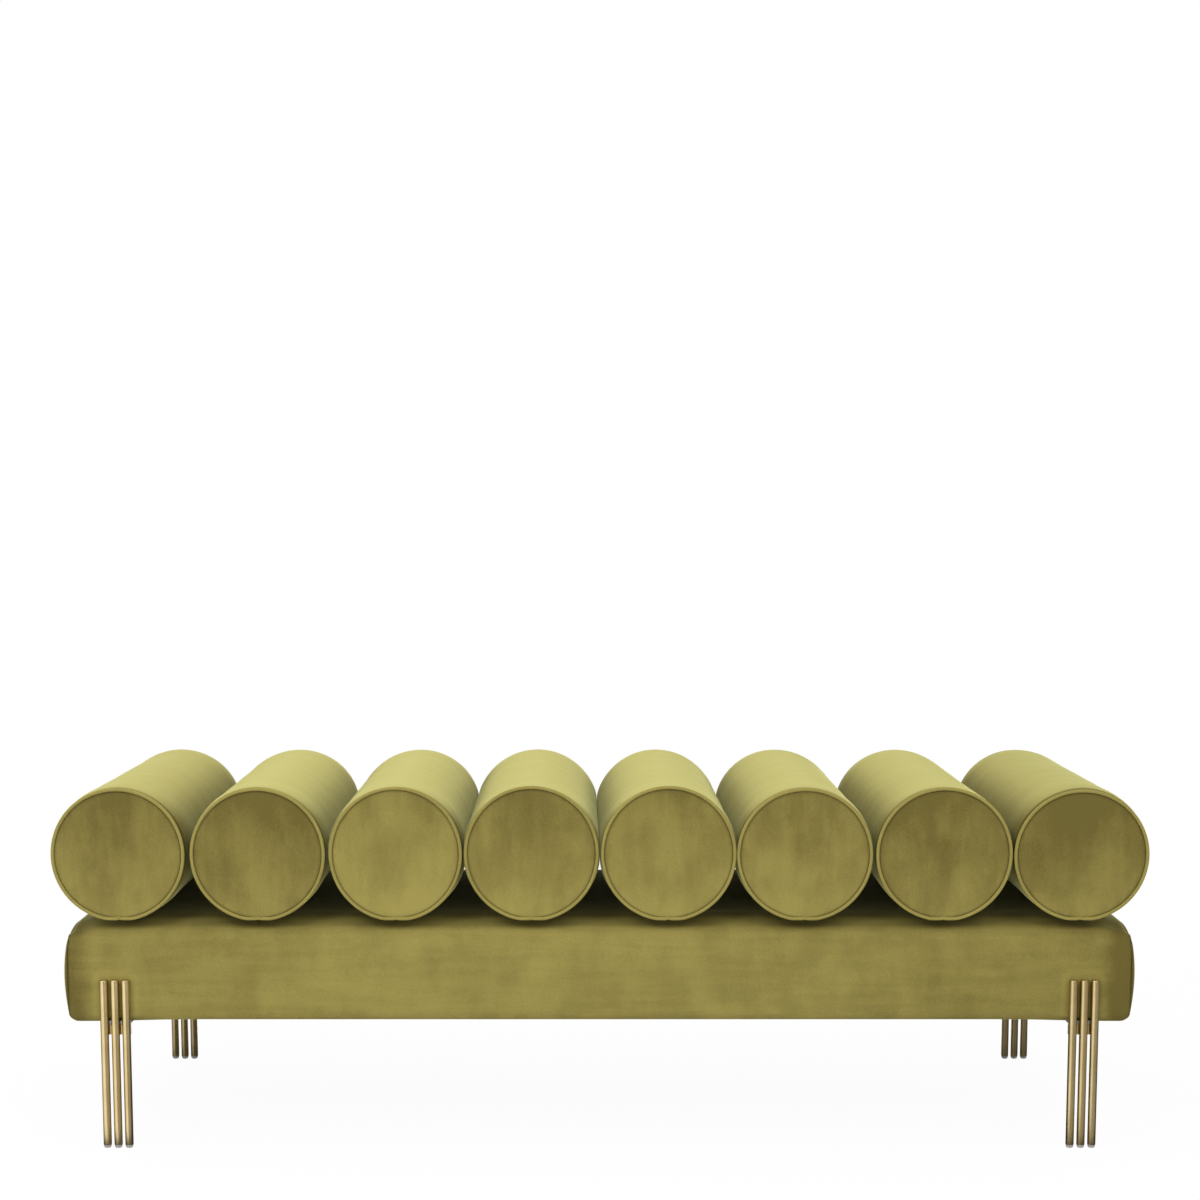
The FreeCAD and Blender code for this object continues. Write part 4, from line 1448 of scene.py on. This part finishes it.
def base_mesh(settings):
    """The base's points and faces, and the faces of each end panel by its side's name."""
    sides = base_section(settings)
    loop = [point for side in sides for point in side[:-1]]
    stations = base_stations(settings)
    around = len(loop)
    points = []
    faces = []
    for x in stations:
        points.extend(base_point(settings, x, y, z) for y, z in loop)
    for station in range(len(stations) - 1):
        near = station * around
        far = near + around
        for step in range(around):
            after = (step + 1) % around
            faces.append((near + step, near + after, far + after, far + step))
    caps = {}
    for (name, side), first in zip(ENDS, (0, (len(stations) - 1) * around)):
        cap_points, caps[name] = end_cap(settings, sides, side, first, len(points))
        points.extend(cap_points)
        faces.extend(caps[name])
    return points, faces, caps


# Thickness of an end panel's cloth, and how far the main piece's ends are drawn in behind it.
PANEL_CLOTH = 0.0018
BEHIND_PANEL = 0.004


class DIVAN_OT_base(bpy.types.Operator):
    """Make the base's main velvet panel and its two end panels"""

    bl_idname = "divan.base"
    bl_label = "Base"

    def execute(self, context):
        settings = context.scene.divan_base
        material = bpy.data.materials["olive_velvet"]
        points, faces, caps = base_mesh(settings)
        piece = add_piece("base_velvet", points, faces, material)
        rumple_base(piece, settings)
        for name, cap_faces in caps.items():
            panel = copy_faces(piece, f"end_velvet_{name}", cap_faces)
            cloth = panel.modifiers.new("cloth", "SOLIDIFY")
            cloth.thickness = PANEL_CLOTH
            cloth.offset = -1.0
            bake_modifiers(panel)
            subdivide(panel, 1)
            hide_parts(f"end_panel_{name}")
            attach(panel, BODY)
        sink_caps(piece, settings)
        subdivide(piece, 1)
        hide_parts("base_cover", "base_foam")
        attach(piece, BODY)
        return {"FINISHED"}


def end_cap(settings, sides, side, first, count_before):
    """The points and faces of one end panel, which swells out of the seam ring at its edge."""
    x = side * settings.seam_x
    ring = [[base_point(settings, x, y, z) for y, z in points] for points in sides]
    grid = coons_patch(*ring)
    around = 2 * (FACE_CELLS + TOP_CELLS)
    numbers = {}
    points = []
    for (up, inward), point in grid.items():
        if inward == 0:
            numbers[up, inward] = first + up
        elif up == FACE_CELLS:
            numbers[up, inward] = first + FACE_CELLS + inward
        elif inward == TOP_CELLS:
            numbers[up, inward] = first + FACE_CELLS + TOP_CELLS + (FACE_CELLS - up)
        elif up == 0:
            numbers[up, inward] = first + (around - inward) % around
        else:
            low_part = 1 - (2 * up / FACE_CELLS - 1) ** 2
            across_part = 1 - (2 * inward / TOP_CELLS - 1) ** 2
            swell = settings.end_bulge * low_part**0.8 * min(1.0, across_part * 2.6) ** 0.6
            numbers[up, inward] = count_before + len(points)
            points.append(point + Vector((side * swell, 0, 0)))
    faces = []
    for up in range(FACE_CELLS):
        for inward in range(TOP_CELLS):
            corners = [
                numbers[up, inward],
                numbers[up, inward + 1],
                numbers[up + 1, inward + 1],
                numbers[up + 1, inward],
            ]
            faces.append(corners if side > 0 else corners[::-1])
    return points, faces


def copy_faces(piece, name, faces):
    """A new piece that holds a copy of some of the faces."""
    used = sorted({number for face in faces for number in face})
    places = {number: place for place, number in enumerate(used)}
    points = read_points(piece.data)[used]
    copied = add_piece(
        name,
        points,
        [[places[number] for number in face] for face in faces],
        piece.data.materials[0],
    )
    for mark in ("nap", "along", "crease"):
        values = np.empty(len(piece.data.vertices), np.float32)
        piece.data.attributes[mark].data.foreach_get("value", values)
        mark_points(copied, mark, values[used])
    return copied


def sink_caps(piece, settings):
    """Draws the main piece's ends in behind the end panels that cover them."""
    points = read_points(piece.data)
    past = np.abs(points[:, 0]) - settings.seam_x
    inner = np.where(past > 0.0001, settings.seam_x - BEHIND_PANEL + past, np.abs(points[:, 0]))
    points[:, 0] = np.sign(points[:, 0]) * inner
    write_points(piece.data, points)


# The legs


def lathe(name, profile, sides, material):
    """A closed turned piece on the Z axis, from (radius, height) points that run upwards and have
    a radius of zero at both ends."""
    points = [(0.0, 0.0, profile[0][1])]
    for radius, height in profile[1:-1]:
        for step in range(sides):
            angle = math.tau * step / sides
            points.append((radius * math.cos(angle), radius * math.sin(angle), height))
    points.append((0.0, 0.0, profile[-1][1]))
    rows = len(profile) - 2
    faces = []
    for step in range(sides):
        after = (step + 1) % sides
        faces.append((0, 1 + after, 1 + step))
        last = 1 + (rows - 1) * sides
        faces.append((len(points) - 1, last + step, last + after))
        for row in range(rows - 1):
            low = 1 + row * sides
            high = low + sides
            faces.append((low + step, low + after, high + after, high + step))
    return add_piece(name, points, faces, material)


def rounded_end(radius, height, edge, upward):
    """Profile points of a rod's flat end with a small rounded rim."""
    turn = 1 if upward else -1
    found = []
    for degrees in (0, 20, 45, 70, 90):
        angle = math.radians(degrees)
        found.append(
            (radius - edge + edge * math.cos(angle), height - turn * edge * (1 - math.sin(angle)))
        )
    found.append((radius - edge * 1.6, height))
    found.append((0.0, height))
    return found if upward else found[::-1]


# Rings of faces along a rod.
ROD_RINGS = 9


class DIVAN_OT_rods(bpy.types.Operator):
    """Make the three brass rods of each leg"""

    bl_idname = "divan.rods"
    bl_label = "Rods"

    def execute(self, context):
        settings = context.scene.divan_legs
        material = bpy.data.materials["satin_brass"]
        tree = row_tree()
        low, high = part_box("leg_rods_front_left")
        radius = settings.rod_radius
        profile = rounded_end(radius, low.z, settings.rod_edge, False)
        for step in range(1, ROD_RINGS):
            profile.append((radius, low.z + (high.z - low.z) * step / ROD_RINGS))
        profile += rounded_end(radius, high.z, settings.rod_edge, True)
        pattern = lathe("rod_pattern", profile, settings.sides, material)
        spread_on_legs(context, tree, pattern, "leg_rods", "rods", settings, material)
        return {"FINISHED"}


# A glide: the radius of its flat foot and of its rim, and the steps and facets of its rounding.
GLIDE_FOOT = 0.0036
GLIDE_RIM = 0.0056
GLIDE_STEPS = 6
GLIDE_SIDES = 40


class DIVAN_OT_glides(bpy.types.Operator):
    """Make the grey glide under each rod"""

    bl_idname = "divan.glides"
    bl_label = "Glides"

    def execute(self, context):
        settings = context.scene.divan_legs
        material = bpy.data.materials["grey_glide_plastic"]
        tree = row_tree()
        high = low_corner("leg_rods_front_left").z
        profile = [(0.0, 0.0), (GLIDE_FOOT * 0.6, 0.0), (GLIDE_FOOT, 0.0)]
        for step in range(1, GLIDE_STEPS + 1):
            angle = math.radians(90 * step / GLIDE_STEPS)
            bulge = GLIDE_FOOT + (GLIDE_RIM - GLIDE_FOOT) * math.sin(angle)
            profile.append((bulge, (high - 0.0004) * (1 - math.cos(angle))))
        profile += [(GLIDE_RIM, high - 0.0001), (GLIDE_RIM * 0.9, high), (0.0, high)]
        pattern = lathe("glide_pattern", profile, GLIDE_SIDES, material)
        spread_on_legs(
            context, tree, pattern, "leg_glides", "glides", settings, material
        )
        return {"FINISHED"}


def spread_on_legs(context, tree, pattern, node, name, settings, material):
    """Sets a row of copies of the pattern in each leg, in place of the leg's CAD node."""
    for leg in LEGS:
        rods = f"leg_rods_{leg}"
        pitch = (span(rods).x - 2 * settings.rod_radius) / (settings.rods - 1)
        first = Vector((low_corner(rods).x + settings.rod_radius, middle(rods).y, 0))
        mesh = bpy.data.meshes.new(f"{name}_{leg}")
        piece = bpy.data.objects.new(mesh.name, mesh)
        context.scene.collection.objects.link(piece)
        values = {
            "Piece": pattern,
            "Count": settings.rods,
            "First Place": first,
            "Pitch": Vector((pitch, 0, 0)),
            "Finish": material,
        }
        add_tree(piece, tree, values)
        bake_modifiers(piece)
        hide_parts(f"{node}_{leg}")
        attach(piece, BODY)
    bpy.data.objects.remove(pattern)


# The finishes and the parts that keep their own shape


class DIVAN_OT_finishes(bpy.types.Operator):
    """Make the materials and give them to the pieces that the frame already holds"""

    bl_idname = "divan.finishes"
    bl_label = "Finishes"

    def execute(self, context):
        velvet_finish(context.scene.divan_velvet)
        glide_finish()
        foam = foam_finish()
        finishes = {
            "leg_bar": brass_finish(context.scene.divan_brass),
            "leg_plate": metal_finish("leg_plate_steel", (0.52, 0.52, 0.50), (0.38, 0.38, 0.37), 0.38),
            "leg_screws": metal_finish("zinc_screw", (0.62, 0.62, 0.58), (0.45, 0.45, 0.43), 0.30),
            "frame_rail": timber_finish(),
            "seat_deck": plywood_finish(),
            "dust_cover": dust_cloth_finish(),
            "roll_foam": foam,
            "base_foam": foam,
        }
        finishes["roll_screws"] = finishes["leg_screws"]
        finishes["cover_staples"] = finishes["leg_screws"]
        for name in ("cross_rail", "corner_blocks", "roll_slats"):
            finishes[name] = finishes["frame_rail"]
        for name, node in frame["nodes"].items():
            found = [kind for kind in finishes if name.startswith(kind)]
            if found:
                node.data.materials.clear()
                node.data.materials.append(finishes[found[0]])
        return {"FINISHED"}


# The stage


def seen_rays(tree):
    """A factor that is 1 for rays from the camera and in gloss or glass."""
    path = tree.nodes.new("ShaderNodeLightPath")
    total = path.outputs["Is Camera Ray"]
    for name in ("Is Glossy Ray", "Is Transmission Ray"):
        add = tree.nodes.new("ShaderNodeMath")
        add.operation = "ADD"
        add.use_clamp = True
        tree.links.new(total, add.inputs[0])
        tree.links.new(path.outputs[name], add.inputs[1])
        total = add.outputs["Value"]
    return total


def add_floor(settings):
    """A pale floor that shows white, and keeps the divan's soft shadow near it."""
    half = settings.floor_width / 2
    finish = Finish("studio_floor")
    tree = finish.tree
    tree.nodes.remove(finish.shader)
    plain = tree.nodes.new("ShaderNodeBsdfDiffuse")
    plain.inputs["Color"].default_value = (0.86, 0.86, 0.86, 1)
    white = tree.nodes.new("ShaderNodeEmission")
    mix = tree.nodes.new("ShaderNodeMixShader")
    away = tree.nodes.new("ShaderNodeVectorMath")
    away.operation = "LENGTH"
    finish.link(finish.places, away.inputs[0])
    bright = finish.levels(
        away.outputs["Value"], 1.0, settings.shadow_reach, settings.shadow_white, 1.0
    )
    finish.link(finish.combine("MULTIPLY", seen_rays(tree), bright), mix.inputs["Fac"])
    finish.link(plain.outputs["BSDF"], mix.inputs[1])
    finish.link(white.outputs["Emission"], mix.inputs[2])
    finish.link(mix.outputs["Shader"], tree.nodes["Material Output"].inputs["Surface"])
    corners = [(-half, -half, 0), (half, -half, 0), (half, half, 0), (-half, half, 0)]
    add_piece("studio_floor", corners, [(0, 1, 2, 3)], finish.material)


def add_world(settings):
    """White to the camera and in reflections, and a dimmer light all round."""
    world = bpy.data.worlds.new("studio")
    bpy.context.scene.world = world
    world.use_nodes = True
    tree = world.node_tree
    background = tree.nodes["Background"]
    background.inputs["Color"].default_value = (1, 1, 1, 1)
    strength = tree.nodes.new("ShaderNodeMix")
    strength.inputs["A"].default_value = settings.room_light
    strength.inputs["B"].default_value = 1.0
    tree.links.new(seen_rays(tree), strength.inputs["Factor"])
    tree.links.new(strength.outputs["Result"], background.inputs["Strength"])


def add_softbox(name, place, power):
    """A rectangular lamp that faces the seat."""
    lamp = bpy.data.lights.new(name, "AREA")
    lamp.shape = "RECTANGLE"
    lamp.size, lamp.size_y = SOFTBOX_SIZE
    lamp.energy = power
    holder = bpy.data.objects.new(name, lamp)
    holder.location = place
    aim = Vector(SEAT) - Vector(place)
    holder.rotation_euler = aim.to_track_quat("-Z", "Y").to_euler()
    holder.visible_camera = False
    bpy.context.scene.collection.objects.link(holder)


def add_flag(name, place, target, size, tone):
    """A card that glows with a fixed tone and only shows in reflections: a painted reflection of the
    lit and the shaded parts of the floor and room.
    """
    material = bpy.data.materials.new(name)
    material.use_nodes = True
    tree = material.node_tree
    tree.nodes.clear()
    grey = tree.nodes.new("ShaderNodeEmission")
    grey.inputs["Strength"].default_value = tone
    out = tree.nodes.new("ShaderNodeOutputMaterial")
    tree.links.new(grey.outputs["Emission"], out.inputs["Surface"])
    half_width, half_height = size[0] / 2, size[1] / 2
    turn = (Vector(target) - Vector(place)).to_track_quat("-Z", "Y")
    corners = []
    for x, y in ((-1, -1), (1, -1), (1, 1), (-1, 1)):
        corners.append(Vector(place) + turn @ Vector((x * half_width, y * half_height, 0)))
    card = add_piece(name, corners, [(0, 1, 2, 3)], material)
    card.visible_camera = False
    card.visible_diffuse = False
    card.visible_shadow = False
    card.visible_transmission = False


# The point that the lamps face, their size, and the name, place and power of each.
SEAT = (0.0, 0.0, 0.35)
SOFTBOX_SIZE = (1.6, 1.2)
SOFTBOXES = (
    ("top_softbox", (-0.8, -0.1, 2.3), 14),
    ("key_softbox", (-1.6, -2.6, 2.6), 35),
    ("fill_softbox", (1.6, -2.6, 2.6), 22),
)

# Cards that the brass reflects, painted reflections of the lit and shaded floor and room: name, place,
# the point that each faces, size and brightness.
STUDIO_FLAGS = (
    ("left_floor_card", (-1.95, -1.85, 0.003), (-1.95, -1.85, 4), (2.50, 3.1), 1.45),
    ("middle_floor_card", (-0.35, -1.85, 0.003), (-0.35, -1.85, 4), (0.70, 3.1), 0.42),
    ("inner_floor_card", (0.31, -1.85, 0.003), (0.31, -1.85, 4), (0.62, 3.1), 1.30),
    ("right_floor_card", (2.00, -1.85, 0.003), (2.00, -1.85, 4), (2.76, 3.1), 0.42),
    ("left_side_floor_card", (-1.98, 1.35, 0.003), (-1.98, 1.35, 4), (2.46, 3.3), 0.42),
    # Painted shadow of the divan on the floor, as the brass reflects it.
    ("under_floor_card", (0.50, 0.075, 0.003), (0.50, 0.075, 4), (2.50, 0.75), 0.06),
    ("back_left_floor_card", (-0.55, 1.50, 0.003), (-0.55, 1.50, 4), (0.36, 2.1), 1.10),
    ("back_floor_card", (0.10, 1.50, 0.003), (0.10, 1.50, 4), (0.90, 2.1), 0.12),
    ("back_right_floor_card", (0.78, 1.50, 0.003), (0.78, 1.50, 4), (0.42, 2.1), 1.10),
    ("back_far_floor_card", (2.30, 1.50, 0.003), (2.30, 1.50, 4), (2.60, 2.1), 0.12),
    ("left_wall_card", (-3.60, -3.90, 1.4), (0, 0, 1.4), (5.0, 2.8), 1.45),
    ("front_wall_card", (1.60, -5.60, 1.4), (1.6, 0, 1.4), (6.8, 2.8), 0.42),
    ("right_wall_card", (5.00, -3.60, 1.4), (0, -3.6, 1.4), (4.8, 2.8), 0.36),
    ("right_back_wall_card", (5.00, 2.10, 1.4), (0, 2.1, 1.4), (6.6, 2.8), 0.10),
    ("back_wall_card", (3.20, 5.00, 1.4), (3.2, 0, 1.4), (4.4, 2.8), 0.12),
    ("left_side_wall_card", (-5.40, 1.40, 1.4), (0, 1.4, 1.4), (7.2, 2.8), 0.38),
)


class DIVAN_OT_stage(bpy.types.Operator):
    """Set the floor, the world, the lamps and the camera"""

    bl_idname = "divan.stage"
    bl_label = "Stage"

    def execute(self, context):
        settings = context.scene.divan_stage
        context.scene.view_settings.view_transform = "Standard"
        add_floor(settings)
        add_world(settings)
        for name, place, power in SOFTBOXES:
            add_softbox(name, place, power)
        for name, place, target, size, tone in STUDIO_FLAGS:
            add_flag(name, place, target, size, tone)
        camera = bpy.data.cameras.new("camera")
        camera.lens = settings.lens
        camera.sensor_width = SENSOR_WIDTH
        camera.shift_y = settings.rise
        holder = bpy.data.objects.new("camera", camera)
        holder.location = settings.eye
        holder.rotation_euler = Euler((math.radians(90) - settings.pitch, 0, 0))
        context.scene.collection.objects.link(holder)
        context.scene.camera = holder
        return {"FINISHED"}


class DIVAN_PT_panel(bpy.types.Panel):
    """Lists the divan's settings and operators in the sidebar"""

    bl_idname = "DIVAN_PT_panel"
    bl_label = "Divan"
    bl_space_type = "VIEW_3D"
    bl_region_type = "UI"
    bl_category = "Divan"

    def draw(self, context):
        for name, group in SETTINGS.items():
            box = self.layout.box()
            box.label(text=group.__doc__)
            for field in group.__annotations__:
                box.prop(getattr(context.scene, name), field)
        for operator in OPERATORS:
            self.layout.operator(operator.bl_idname)


OPERATORS = (
    DIVAN_OT_finishes,
    DIVAN_OT_base,
    DIVAN_OT_rolls,
    DIVAN_OT_welts,
    DIVAN_OT_rods,
    DIVAN_OT_glides,
    DIVAN_OT_stage,
)


def register():
    """Adds the divan's settings, operators and panel."""
    for group in SETTINGS.values():
        bpy.utils.register_class(group)
    for operator in OPERATORS:
        bpy.utils.register_class(operator)
    bpy.utils.register_class(DIVAN_PT_panel)
    for name, group in SETTINGS.items():
        setattr(bpy.types.Scene, name, bpy.props.PointerProperty(type=group))


def unregister():
    """Takes the divan's settings, operators and panel away."""
    for name in SETTINGS:
        delattr(bpy.types.Scene, name)
    bpy.utils.unregister_class(DIVAN_PT_panel)
    for operator in reversed(OPERATORS):
        bpy.utils.unregister_class(operator)
    for group in reversed(SETTINGS.values()):
        bpy.utils.unregister_class(group)


def main():
    """Makes every piece and the stage."""
    register()
    bpy.ops.divan.finishes()
    bpy.ops.divan.base()
    bpy.ops.divan.rolls()
    bpy.ops.divan.welts()
    bpy.ops.divan.rods()
    bpy.ops.divan.glides()
    bpy.ops.divan.stage()


if __name__ == "__main__":
    main()
